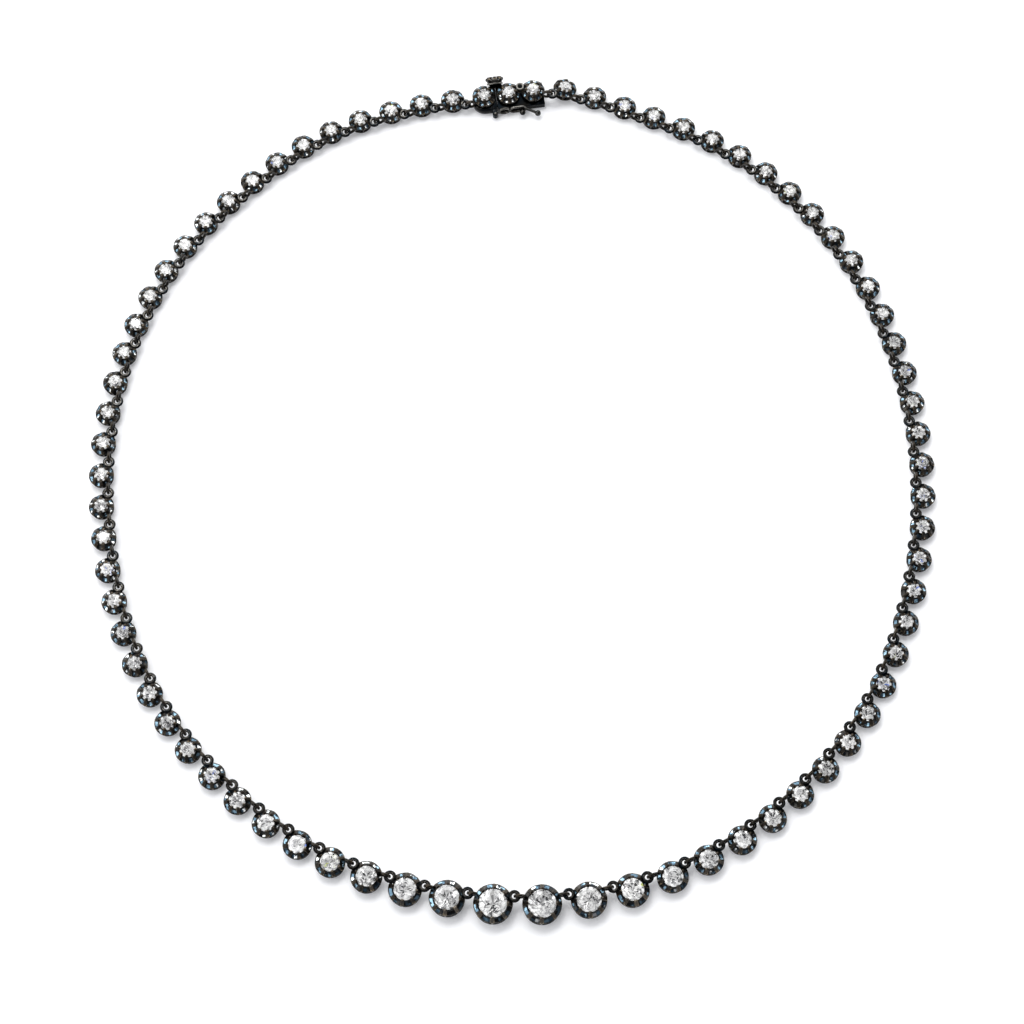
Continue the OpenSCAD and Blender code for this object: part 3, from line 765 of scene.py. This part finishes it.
def worn_and_shade_group():
    """Shared effect of wear and of painted shade on the metal.

    A dark ground with colder patches is rubbed through to a paler metal on edges and in small specks, and
    has a fine pitted relief. Tone makes the ground darker, and painted shade darkens it further in the
    faces' hollows, where the wear value is 0.
    """
    tree = bpy.data.node_groups.new("worn_metal_painted_shade", "ShaderNodeTree")
    for name, way, kind in (
        ("Ground", "INPUT", "Color"), ("Cold", "INPUT", "Color"), ("Rubbed", "INPUT", "Color"),
        ("Wear", "INPUT", "Float"), ("Colour", "OUTPUT", "Color"), ("Roughness", "OUTPUT", "Float"),
        ("Height", "OUTPUT", "Float"),
    ):
        tree.interface.new_socket(name, in_out=way, socket_type="NodeSocket" + kind)
    into = tree.nodes.new("NodeGroupInput").outputs
    out = tree.nodes.new("NodeGroupOutput").inputs
    where = object_place(tree)
    _, wear_and_shade, tone = finish_of(tree)
    broad, fine = noise(tree, where, 620.0), noise(tree, where, 4200.0, 4.0)
    ground = mixed(tree, between(tree, broad, 0.42, 0.62), into["Ground"], into["Cold"])
    # Painted shade: where the wear value is low, in hollows and creases, the ground falls to 0.28 of itself
    hollow = plus(tree, times(tree, between(tree, wear_and_shade, 0.0, 0.25), 0.72), 0.28)
    shade = times(tree, plus(tree, times(tree, tone, 1.3), 0.1), hollow)
    grey = add(tree, "ShaderNodeCombineColor", {"Red": shade, "Green": shade, "Blue": shade}).outputs[0]
    ground = mixed(tree, 1.0, ground, grey, "MULTIPLY")
    share = between(tree, plus(tree, times(tree, wear_and_shade, into["Wear"]), times(tree, fine, 0.9)), 0.68, 1.10)
    tree.links.new(mixed(tree, share, ground, into["Rubbed"]), out["Colour"])
    rough = spread(tree, noise(tree, where, 1900.0), 0.13, 0.30)
    tree.links.new(plus(tree, rough, times(tree, share, 0.08)), out["Roughness"])
    tree.links.new(plus(tree, fine, times(tree, broad, 1.5)), out["Height"])


def worn_and_shaded_material(name, ground, cold, rubbed, wear, strength):
    """Metal with the shared effect of wear and of painted shade, in its own colours."""
    tree, shader = material(name, 1.0)
    group = add(tree, "ShaderNodeGroup", node_tree=bpy.data.node_groups["worn_metal_painted_shade"])
    for key, colour in (("Ground", ground), ("Cold", cold), ("Rubbed", rubbed)):
        group.inputs[key].default_value = opaque(colour)
    group.inputs["Wear"].default_value = wear
    tree.links.new(group.outputs["Colour"], shader.inputs["Base Color"])
    tree.links.new(group.outputs["Roughness"], shader.inputs["Roughness"])
    relief(tree, shader, group.outputs["Height"], strength, 0.00006)


def bright_cut():
    """Bright-cut faces with painted reflections: white, blue, dull or black, as their cut says, with streaks of
    old tarnish.
    """
    c = colours()
    tree, shader = material("bright_cut", 1.0)
    where = object_place(tree)
    cut, _, _ = finish_of(tree)
    pick = plus(tree, cut, times(tree, plus(tree, noise(tree, where, 1500.0), -0.5), 0.35))
    base = mixed(tree, between(tree, pick, 0.10, 0.20), opaque(c.cut), opaque(c.cut_blue_reflection))
    base = mixed(tree, between(tree, pick, 0.40, 0.50), base, opaque(c.cut_dark_reflection))
    base = mixed(tree, between(tree, pick, 0.75, 0.90), base, opaque(c.black))
    streak = between(tree, noise(tree, where, 1700.0, 4.0, 0.65), 0.52, 0.60)
    tree.links.new(mixed(tree, streak, base, opaque(c.blue_black)), shader.inputs["Base Color"])
    tree.links.new(spread(tree, streak, 0.10, 0.32), shader.inputs["Roughness"])
    relief(tree, shader, noise(tree, where, 2600.0), 0.25, 0.00005)


def stone_crown():
    """The clear upper facets, with a very faint tint that changes from stone to stone."""
    tree, shader = material("stone_crown", 0.0)
    shader.inputs["Transmission Weight"].default_value = 1.0
    shader.inputs["IOR"].default_value = 1.9
    where = object_place(tree)
    tint = mixed(tree, noise(tree, where, 90.0, 1.0), (1.0, 0.995, 0.975, 1), (0.985, 0.995, 1.0, 1))
    tree.links.new(mixed(tree, 1.0, tint, opaque(colours().stone), "MULTIPLY"), shader.inputs["Base Color"])
    tree.links.new(spread(tree, noise(tree, where, 500.0), 0.0, 0.012), shader.inputs["Roughness"])


def stone_pavilion():
    """The lower facets, with their reflections painted on: white, grey or dark, and a few blue or yellow.

    Small chips of darker grey are painted over them, as the facets of the crown break the picture of those
    below, and the facets glow a little with their painted colour.
    """
    tree, shader = material("stone_pavilion", 0.6)
    fire, _, grey = finish_of(tree)
    base = mixed(tree, grey, (0.02, 0.02, 0.022, 1), (1.0, 1.0, 1.0, 1))
    base = mixed(tree, between(tree, fire, 0.3, 0.5), base, (0.16, 0.30, 1.0, 1))
    base = mixed(tree, between(tree, fire, 0.8, 1.0), base, (0.85, 0.95, 0.3, 1))
    where = object_place(tree)
    cells = add(tree, "ShaderNodeTexVoronoi", {"Vector": where, "Scale": 3000.0}, feature="F1")
    chip = add(tree, "ShaderNodeSeparateColor", {"Color": cells.outputs["Color"]}).outputs["Red"]
    base = mixed(tree, between(tree, chip, 0.70, 0.74), base, (0.58, 0.58, 0.59, 1), "MULTIPLY")
    base = mixed(tree, between(tree, chip, 0.90, 0.92), base, (0.14, 0.14, 0.15, 1), "MULTIPLY")
    tree.links.new(base, shader.inputs["Base Color"])
    # Painted glow: the lower facets give off a little of their own painted colour, though no lamp is in them
    tree.links.new(base, shader.inputs["Emission Color"])
    shader.inputs["Emission Strength"].default_value = 0.25
    shader.inputs["Roughness"].default_value = 0.03
    relief(tree, shader, noise(tree, where, 1500.0, 1.0), 0.2, 0.00008)


def make_materials():
    """The finishes of the metal and of the stones, once."""
    if "worn_metal_painted_shade" in bpy.data.node_groups:
        return
    worn_and_shade_group()
    c = colours()
    worn_and_shaded_material("blackened_metal", c.black, c.blue_black, c.rubbed, 0.45, 0.5)
    worn_and_shaded_material("worn_claw", c.claw, c.black, c.rubbed_claw, 0.44, 0.45)
    bright_cut()
    worn_and_shaded_material("worn_rim_painted_highlight", c.rim_and_highlight, c.black, c.rim_and_highlight, 0.8, 0.3)
    stone_crown()
    stone_pavilion()


def put(name, shape, node, body, finishes):
    """Makes a piece of a shape, in metres, hides the CAD node it stands for and hangs it on its body's empty.
    """
    make_materials()
    mesh = bpy.data.meshes.new(name)
    points, faces = shape["points"] * MM, shape["faces"]
    mesh.vertices.add(len(points))
    mesh.vertices.foreach_set("co", points.astype(np.float32).reshape(-1))
    mesh.loops.add(faces.size)
    mesh.loops.foreach_set("vertex_index", faces.astype(np.int32).reshape(-1))
    mesh.polygons.add(len(faces))
    mesh.polygons.foreach_set("loop_start", np.arange(0, faces.size, 3, dtype=np.int32))
    mesh.update(calc_edges=True)
    for one in finishes:
        mesh.materials.append(bpy.data.materials[one])
    mesh.polygons.foreach_set("material_index", shape["finish"].astype(np.int32))
    finish = mesh.color_attributes.new("finish", "FLOAT_COLOR", "CORNER")
    cut, wear_and_shade, tone = np.repeat(shape["cut"], 3), shape["wear_and_shade"][faces].reshape(-1), np.repeat(shape["tone"], 3)
    values = np.stack([cut, wear_and_shade, tone, np.ones(faces.size)], -1)
    finish.data.foreach_set("color", values.astype(np.float32).reshape(-1))
    if finishes is STONE_FINISHES:
        mesh.shade_flat()
    else:
        mesh.shade_smooth()
        mesh.set_sharp_from_angle(angle=math.radians(34))
    mesh.validate()
    piece = bpy.data.objects.new(name, mesh)
    bpy.context.scene.collection.objects.link(piece)
    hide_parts(node)
    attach(piece, body)


def put_metal(name, shape, node, body="necklace"):
    put(name, shape, node, body, METAL_FINISHES)


def put_stone(name, shape, node, body="necklace"):
    put(name, shape, node, body, STONE_FINISHES)


def side_stations(side):
    """Stations of the named settings on a side, from the front, and of the rest of it."""
    if side == "left":
        return list(range(LARGE)), list(range(LARGE, CHAIN_SIDE))
    return [COUNT - k for k in range(1, LARGE + 1)], list(range(BOX_END + 1, COUNT - LARGE))


class RIVIERE_OT_settings(bpy.types.Operator):
    """Settings of the chain: turned walls, claws, bright-cut grooves and wire links"""

    bl_idname = "riviere.settings"
    bl_label = "Settings"

    def execute(self, context):
        for side in SIDES:
            large, rest = side_stations(side)
            for k, i in enumerate(large, 1):
                put_metal(f"cut_setting_{side}_{k}", setting(i), f"setting_{side}_{k}")
            put_metal(f"cut_settings_{side}", together([setting(i) for i in rest]), f"settings_{side}")
        return {"FINISHED"}


class RIVIERE_OT_stones(bpy.types.Operator):
    """Stones: old cuts with clear upper facets and bright lower ones"""

    bl_idname = "riviere.stones"
    bl_label = "Stones"

    def execute(self, context):
        for side in SIDES:
            large, rest = side_stations(side)
            for k, i in enumerate(large, 1):
                put_stone(f"old_cut_{side}_{k}", own_stone(i), f"stone_{side}_{k}")
            put_stone(f"old_cuts_{side}", together([own_stone(i) for i in rest]), f"stones_{side}")
        for name, i in (("left", TONGUE), ("middle", MIDDLE), ("right", BOX_END)):
            put_stone(f"old_cut_clasp_{name}", own_stone(i), f"stone_clasp_{name}")
        put_stone("old_cut_push_piece", stone(push_stand(), 600), "stone_push_piece", "push_button")
        return {"FINISHED"}


# The clasp, in its own frame: x along it towards the box's end, y away from the neck, in mm

# From one setting of the clasp to the next, the box from its mouth at x0 to its closed end at x1, and its walls
PITCH = 4.12
BOX = {"x0": -2.01, "x1": 5.87, "inner": -2.45, "outer": 1.75, "h": 1.15}
SHEET = 0.25

# The tongue's block ends here, and its leaf reaches this far into the box
BLOCK_X1, LEAF_X1 = -2.11, 2.99

# The catch's middle line, its wire, its hinge, the peg with its ball, and the end of the arm
CATCH_Y, CATCH_Z = -2.73, 0.9
CATCH_WIRE, EYE_HALF = 0.34, 0.85
HINGE_X, HINGE_Y = -2.61, -3.13
PEG_X, PEG_D = 1.936, 0.44
BALL_D = 1.0
TIP = (4.52, -3.98)

# The push piece stands this much nearer the box than its packed stone, as the photograph shows it
PUSH_NEARER = 0.2


def clasp_stand():
    """The clasp's frame: its origin is below the middle of its middle stone."""
    ahead = STATIONS[BOX_END]["place"] - STATIONS[TONGUE]["place"]
    ahead[2] = 0
    ahead /= np.linalg.norm(ahead)
    place = STATIONS[MIDDLE]["place"].copy()
    place[2] = 0
    return {"place": place, "axes": np.stack([ahead, np.cross(Z, ahead), Z])}


def push_stand():
    """Where the push piece's setting and stone stand."""
    return {**PUSH, "place": PUSH["place"] - PUSH_NEARER * clasp_stand()["axes"][1]}


def shifted(shape, x=0.0, y=0.0, z=0.0):
    return {**shape, "points": shape["points"] + [x, y, z]}


def axes_to(direction):
    """Axes whose third one is the direction."""
    w = np.asarray(direction, float) / np.linalg.norm(direction)
    u = np.cross(w, Z if abs(w[2]) < 0.9 else X)
    u /= np.linalg.norm(u)
    return np.stack([u, np.cross(w, u), w])


def rod(start, end, d, edge=0.05):
    """A round rod between two points, its ends a little rounded."""
    start, end = np.asarray(start, float), np.asarray(end, float)
    long = np.linalg.norm(end - start)
    r = d / 2
    profile = [(r - edge, 0), (r, edge), (r, long / 2), (r, long - edge), (r - edge, long)]
    shape = turned(profile, 24, wear_and_shade=[0.5, 0.6, 0.2, 0.6, 0.5])
    return moved(shape, {"place": start, "axes": axes_to(end - start)})


def slab(x0, x1, y0, y1, z0, z1, edge):
    """A bar between two x, two y and two z, with its upright edges rounded too."""
    long, wide = x1 - x0, y1 - y0
    outline = rounded(long / 2, wide / 2, min(0.12, long / 2.2, wide / 2.2))
    return shifted(block(outline, z0, z1, edge), (x0 + x1) / 2, (y0 + y1) / 2)


def box_shell():
    """The box as one skin.

    A rounded rectangle in y and z is carried along x from the closed end to the mouth, and back inside as a
    smaller one. On the outer side the mouth steps back by the slot's depth, which leaves room for the push
    piece's stem.
    """
    mouth, end = BOX["x0"], BOX["x1"]
    mid_y, mid_z = (BOX["outer"] + BOX["inner"]) / 2, BOX["h"] / 2
    half_y, half_z = (BOX["outer"] - BOX["inner"]) / 2, BOX["h"] / 2
    slot_depth = 0.76

    # Points up a side, as shares of its half height, with the slot between the second and the seventh, and
    # across
    edge_side = np.linspace(0.66, 1, 2)
    up_side = np.concatenate([-edge_side[::-1], np.linspace(-0.64, 0.64, 4), edge_side])
    over_top = np.linspace(-1, 1, 9)
    up, across = len(up_side), len(over_top)

    def outline(inset, radius):
        hy, hz = half_y - inset, half_z - inset
        right = np.stack([np.full(up, hy), up_side * (hz - radius)], -1)
        top = np.stack([-over_top * (hy - radius), np.full(across, hz)], -1)
        left = np.stack([np.full(up, -hy), -up_side * (hz - radius)], -1)
        bottom = np.stack([over_top * (hy - radius), np.full(across, -hz)], -1)
        return np.concatenate([right, top, left, bottom]) + [mid_y, mid_z]

    back = np.zeros(2 * (up + across))
    back[2:6] = slot_depth

    # Each row: x, inset, radius of the corners, whether the slot steps it back, and wear, whose 0 inside
    # gives painted shade
    rows = [
        (end, 0.10, 0.03, 0, 0.4), (end - 0.03, 0.03, 0.05, 0, 0.5), (end - 0.1, 0, 0.07, 0, 0.15),
        (0.5, 0, 0.07, 0, 0.1), (mouth + 0.04, 0, 0.07, 1, 0.2), (mouth, 0.04, 0.05, 1, 0.25),
        (mouth, SHEET - 0.04, 0.03, 1, 0.1), (mouth + 0.04, SHEET, 0.03, 1, 0), (0.6, SHEET, 0.03, 0, 0),
        (4.2, SHEET, 0.03, 0, 0),
    ]
    rings = []
    for x, inset, radius, stepped, _ in rows:
        rings.append(np.concatenate([(x + back * stepped)[:, None], outline(inset, radius)], -1))
    wear_and_shade = np.array([row[-1] for row in rows])
    return skin(np.stack(rings), wear_and_shade=wear_and_shade[:, None])


class RIVIERE_OT_clasp_box(bpy.types.Operator):
    """The clasp's box with two settings, the small ring between them, the ball peg and its loop"""

    bl_idname = "riviere.clasp_box"
    bl_label = "Clasp box"

    def execute(self, context):
        peg_end = CATCH_Y - 0.28
        own = [
            box_shell(),
            # The small ring between the settings: worn rim metal, much rubbed, as a painted highlight
            shifted(ring(np.zeros(3), X, Y, 0.55, 0.36, wear_and_shade=0.9, finish=RIM_WEAR_AND_HIGHLIGHT), PITCH / 2, 0.9, 1.969),
            rod((PEG_X, BOX["inner"] + 0.1, CATCH_Z), (PEG_X, peg_end - 0.3, CATCH_Z), PEG_D),
            shifted(ball(BALL_D), PEG_X, peg_end - 0.4, CATCH_Z),
        ]
        # Toned nearly black: the blackened box, darkened further with painted shade
        parts = [toned(moved(p, clasp_stand()), 0.06) for p in own]
        parts += [standing_cup(MIDDLE), standing_cup(BOX_END), toned(link_half(BOX_END, BOX_END), 0.5)]
        put_metal("clasp_box_cut", together(parts), "clasp_box")
        return {"FINISHED"}


def tongue_block():
    """The tongue's block: a half ellipse away from the box, and straight sides with bevels towards it."""
    inner, outer = BOX["inner"], BOX["outer"]
    t = np.linspace(np.pi / 2, 3 * np.pi / 2, 25)
    bow = np.stack([-PITCH + 2.0 * np.cos(t), (inner + outer) / 2 + (outer - inner) / 2 * np.sin(t)], -1)
    flat = np.array([
        (-3.2, inner), (BLOCK_X1 - 0.06, inner), (BLOCK_X1, inner + 0.06), (BLOCK_X1, (inner + outer) / 2),
        (BLOCK_X1, outer - 0.06), (BLOCK_X1 - 0.06, outer), (-3.2, outer),
    ])
    return block(np.concatenate([bow, flat]), 0, BOX["h"], 0.09)


class RIVIERE_OT_clasp_tongue(bpy.types.Operator):
    """The tongue's block with its setting, its fixed leaf and the safety catch's hinge"""

    bl_idname = "riviere.clasp_tongue"
    bl_label = "Clasp tongue"

    def execute(self, context):
        own = [tongue_block(), slab(BLOCK_X1 - 0.2, LEAF_X1, -1.6, -1.32, 0.33, 0.82, 0.03)]
        for z in (0.1, 0.9):
            knuckle = [(0.39, 0), (0.45, 0.06), (0.45, 0.19), (0.39, 0.25)]
            own.append(shifted(turned(knuckle, 32, wear_and_shade=[0.3, 0.45, 0.45, 0.3]), HINGE_X, HINGE_Y, z))
            own.append(slab(HINGE_X - 0.42, HINGE_X + 0.42, HINGE_Y, -2.25, z + 0.01, z + 0.24, 0.04))
        pin = [(0.18, 0), (0.2, 0.02), (0.2, 1.02), (0.17, 1.08), (0.08, 1.1)]
        own.append(shifted(turned(pin, 24, wear_and_shade=[0, 0, 0.3, 0.8, 0.9]), HINGE_X, HINGE_Y, 0.12))
        # Toned nearly black: the blackened tongue, darkened further with painted shade
        parts = [toned(moved(p, clasp_stand()), 0.06) for p in own]
        parts += [standing_cup(TONGUE), toned(link_half(TONGUE - 1, TONGUE), 0.5)]
        put_metal("clasp_tongue_cut", together(parts), "clasp_tongue")
        return {"FINISHED"}


class RIVIERE_OT_push_piece(bpy.types.Operator):
    """The push piece: a small setting on its side, with its back, its stem and the moving leaf"""

    bl_idname = "riviere.push_piece"
    bl_label = "Push piece"

    def execute(self, context):
        back = turned([(0.9, 0.0), (1.28, 0.01), (1.3, 0.05), (1.3, 0.16), (0.9, 0.19)], 40, wear_and_shade=0.2)
        made = cup(PUSH["r"], 0.65, PUSH["girdle"], 777, painted_shine=0, bevel=0.14, ribbed=False)
        # The push piece's wall takes the rim finish: a painted highlight, paler than the blackened metal
        made["finish"] = np.where(made["finish"] == BLACKENED, RIM_WEAR_AND_HIGHLIGHT, made["finish"])
        stem = slab(-1.73, -1.33, 0.74, 2.7, 0.34, 0.81, 0.04)
        # The neck is a wide dark block behind the push piece: partly its body, partly a dark block filling the
        # shade between it and the settings
        neck = slab(-2.95, -0.85, 2.0, 2.75, 0.34, 1.05, 0.08)
        leaf = slab(-1.73, LEAF_X1, 0.72, 1.0, 0.335, 0.815, 0.03)
        parts = [moved(made, push_stand()), toned(moved(back, push_stand()), 0.4)]
        parts += [toned(moved(p, clasp_stand()), 0.1) for p in (stem, neck, leaf)]
        put_metal("push_piece_cut", together(parts), "push_piece", "push_button")
        return {"FINISHED"}


def eye(x0, x1):
    """An eye of the catch: a strand round a slot's outline, half circles about x0 and x1 joined by lines."""
    r = EYE_HALF - CATCH_WIRE / 2
    t = np.linspace(-np.pi / 2, np.pi / 2, 13)
    right = np.stack([x1 + r * np.cos(t), np.zeros(13), r * np.sin(t)], -1)
    left = np.stack([x0 - r * np.cos(t), np.zeros(13), -r * np.sin(t)], -1)
    # The catch's strands take the rim finish: a painted highlight along the catch
    return shifted(strand(np.concatenate([right, left]), CATCH_WIRE, 0.4, Y, finish=RIM_WEAR_AND_HIGHLIGHT), 0, CATCH_Y, CATCH_Z)


class RIVIERE_OT_safety_catch(bpy.types.Operator):
    """The figure-eight safety catch with its barrel, its arm and the ball at its end"""

    bl_idname = "riviere.safety_catch"
    bl_label = "Safety catch"

    def execute(self, context):
        waist = (PEG_X + HINGE_X) / 2 + 0.2
        barrel = [(0.25, 0.0), (0.40, 0.0), (0.45, 0.05), (0.45, 0.42), (0.40, 0.47), (0.25, 0.47)]
        own = [
            eye(HINGE_X + 0.55 + EYE_HALF, waist + 0.1 - EYE_HALF),
            eye(waist - 0.1 + EYE_HALF, PEG_X),
            shifted(turned(barrel, 32, 0.4, joined=True), HINGE_X, HINGE_Y, 0.39),
            slab(HINGE_X + 0.38, HINGE_X + 0.80, CATCH_Y - 0.18, CATCH_Y + 0.1, 0.40, 0.85, 0.04),
            rod((PEG_X + 0.61, CATCH_Y, CATCH_Z), (*TIP, CATCH_Z), 0.46),
            shifted(ball(BALL_D), TIP[0] - 0.07, TIP[1] + 0.07, CATCH_Z),
        ]
        parts = [toned(moved(p, clasp_stand()), 0.6) for p in own]
        put_metal("safety_catch_cut", together(parts), "safety_catch", "safety_catch")
        return {"FINISHED"}


# The stage, in metres. The camera stands DISTANCE from its aim, ELEVATION degrees above the floor's front,
# and its lens is FOCAL pixels long in a picture PICTURE pixels wide.
AIM = Vector((0.0000174, -0.0064247, 0.0))
ELEVATION, DISTANCE = 70, 0.3616
FOCAL, PICTURE, SENSOR = 2300, 1024, 36.0

# Name, diameter, power and place of each lamp
LAMPS = (("key", 0.5, 1.8, (-0.05, 0.42, 0.62)), ("glint", 0.06, 0.4, (-0.16, 0.24, 0.60)))


def facing(thing, spot, target):
    """Puts a lamp or camera at a spot and turns it towards a target."""
    made = bpy.data.objects.new(thing.name, thing)
    made.location = spot
    made.rotation_euler = (target - made.location).to_track_quat("-Z", "Y").to_euler()
    bpy.context.scene.collection.objects.link(made)
    return made


def paper_floor():
    """The pale floor: a flat grid at z = 0 of matt paper that glows a little, as if lit from all sides."""
    tree, shader = material("floor_paper", 0.0)
    pale = colours().floor
    greyer = opaque([k * 0.985 for k in pale])
    base = mixed(tree, noise(tree, object_place(tree), 60.0), opaque(pale), greyer)
    tree.links.new(base, shader.inputs["Base Color"])
    shader.inputs["Roughness"].default_value = 0.9
    shader.inputs["Specular IOR Level"].default_value = 0.1
    shader.inputs["Emission Color"].default_value = opaque(pale)
    shader.inputs["Emission Strength"].default_value = 0.13
    n = 41
    x, y = np.meshgrid(np.linspace(-1.6, 1.6, n), np.linspace(-1.6, 1.6, n))
    points = np.stack([x, y, np.zeros_like(x)], -1).reshape(-1, 3)
    i = (np.arange(n - 1)[:, None] * n + np.arange(n - 1)).reshape(-1)
    mesh = bpy.data.meshes.new("floor")
    mesh.from_pydata(points.tolist(), [], np.stack([i, i + 1, i + n + 1, i + n], -1).tolist())
    mesh.materials.append(bpy.data.materials["floor_paper"])
    floor = bpy.data.objects.new("floor", mesh)
    bpy.context.scene.collection.objects.link(floor)


def studio():
    """The room: bright behind the necklace, grey before it, and with a dark patch nearly overhead."""
    world = bpy.data.worlds.new("studio")
    bpy.context.scene.world = world
    world.use_nodes = True
    tree = world.node_tree
    towards = add(tree, "ShaderNodeTexCoord").outputs["Generated"]

    def aimed(direction):
        made = add(tree, "ShaderNodeVectorMath", {0: towards, 1: direction}, operation="DOT_PRODUCT")
        return made.outputs["Value"]

    dark = between(tree, aimed((0.30, -0.25, 0.92)), 0.50, 0.85)
    behind = between(tree, aimed((-0.25, 0.80, 0.55)), -0.4, 0.7)
    wall = mixed(tree, behind, (0.45, 0.45, 0.46, 1), (1.0, 1.0, 1.0, 1))
    ground = tree.nodes["Background"]
    tree.links.new(mixed(tree, dark, wall, (0.07, 0.07, 0.075, 1)), ground.inputs["Color"])
    ground.inputs["Strength"].default_value = 2.4


class RIVIERE_OT_stage(bpy.types.Operator):
    """Pale floor, soft studio light and the camera at the photograph's angle"""

    bl_idname = "riviere.stage"
    bl_label = "Floor, light and camera"

    def execute(self, context):
        scene = bpy.context.scene
        paper_floor()
        for name, size, energy, spot in LAMPS:
            light = bpy.data.lights.new(name, "AREA")
            light.shape = "DISK"
            light.size = size
            light.energy = energy
            light.color = (1.0, 0.99, 0.97)
            facing(light, spot, Vector())
        studio()
        camera = bpy.data.cameras.new("camera")
        camera.sensor_width = SENSOR
        camera.lens = FOCAL / PICTURE * SENSOR
        camera.clip_start = 0.01
        camera.clip_end = 20.0
        elevation = math.radians(ELEVATION)
        spot = AIM + Vector((0, -math.cos(elevation), math.sin(elevation))) * DISTANCE
        scene.camera = facing(camera, spot, AIM)
        scene.view_settings.view_transform = "Standard"
        scene.view_settings.look = "None"
        return {"FINISHED"}


class RIVIERE_PT_panel(bpy.types.Panel):
    """Sizes, colours and the pieces of the necklace"""

    bl_idname = "RIVIERE_PT_panel"
    bl_label = "Riviere necklace"
    bl_space_type = "VIEW_3D"
    bl_region_type = "UI"
    bl_category = "Riviere"

    def draw(self, context):
        layout = self.layout
        for group in (context.scene.riviere_sizes, context.scene.riviere_colours):
            column = layout.column(align=True)
            for name in group.__annotations__:
                column.prop(group, name)
        for operator in OPERATORS:
            layout.operator(operator.bl_idname)


OPERATORS = (
    RIVIERE_OT_settings, RIVIERE_OT_stones, RIVIERE_OT_clasp_box, RIVIERE_OT_clasp_tongue,
    RIVIERE_OT_push_piece, RIVIERE_OT_safety_catch, RIVIERE_OT_stage,
)
CLASSES = (RiviereSizes, RiviereColours, *OPERATORS, RIVIERE_PT_panel)


def register():
    for one in CLASSES:
        bpy.utils.register_class(one)
    bpy.types.Scene.riviere_sizes = PointerProperty(type=RiviereSizes)
    bpy.types.Scene.riviere_colours = PointerProperty(type=RiviereColours)


def unregister():
    del bpy.types.Scene.riviere_colours
    del bpy.types.Scene.riviere_sizes
    for one in reversed(CLASSES):
        bpy.utils.unregister_class(one)


def main():
    """Makes every piece and the stage."""
    register()
    bpy.ops.riviere.settings()
    bpy.ops.riviere.stones()
    bpy.ops.riviere.clasp_box()
    bpy.ops.riviere.clasp_tongue()
    bpy.ops.riviere.push_piece()
    bpy.ops.riviere.safety_catch()
    bpy.ops.riviere.stage()


if __name__ == "__main__":
    main()
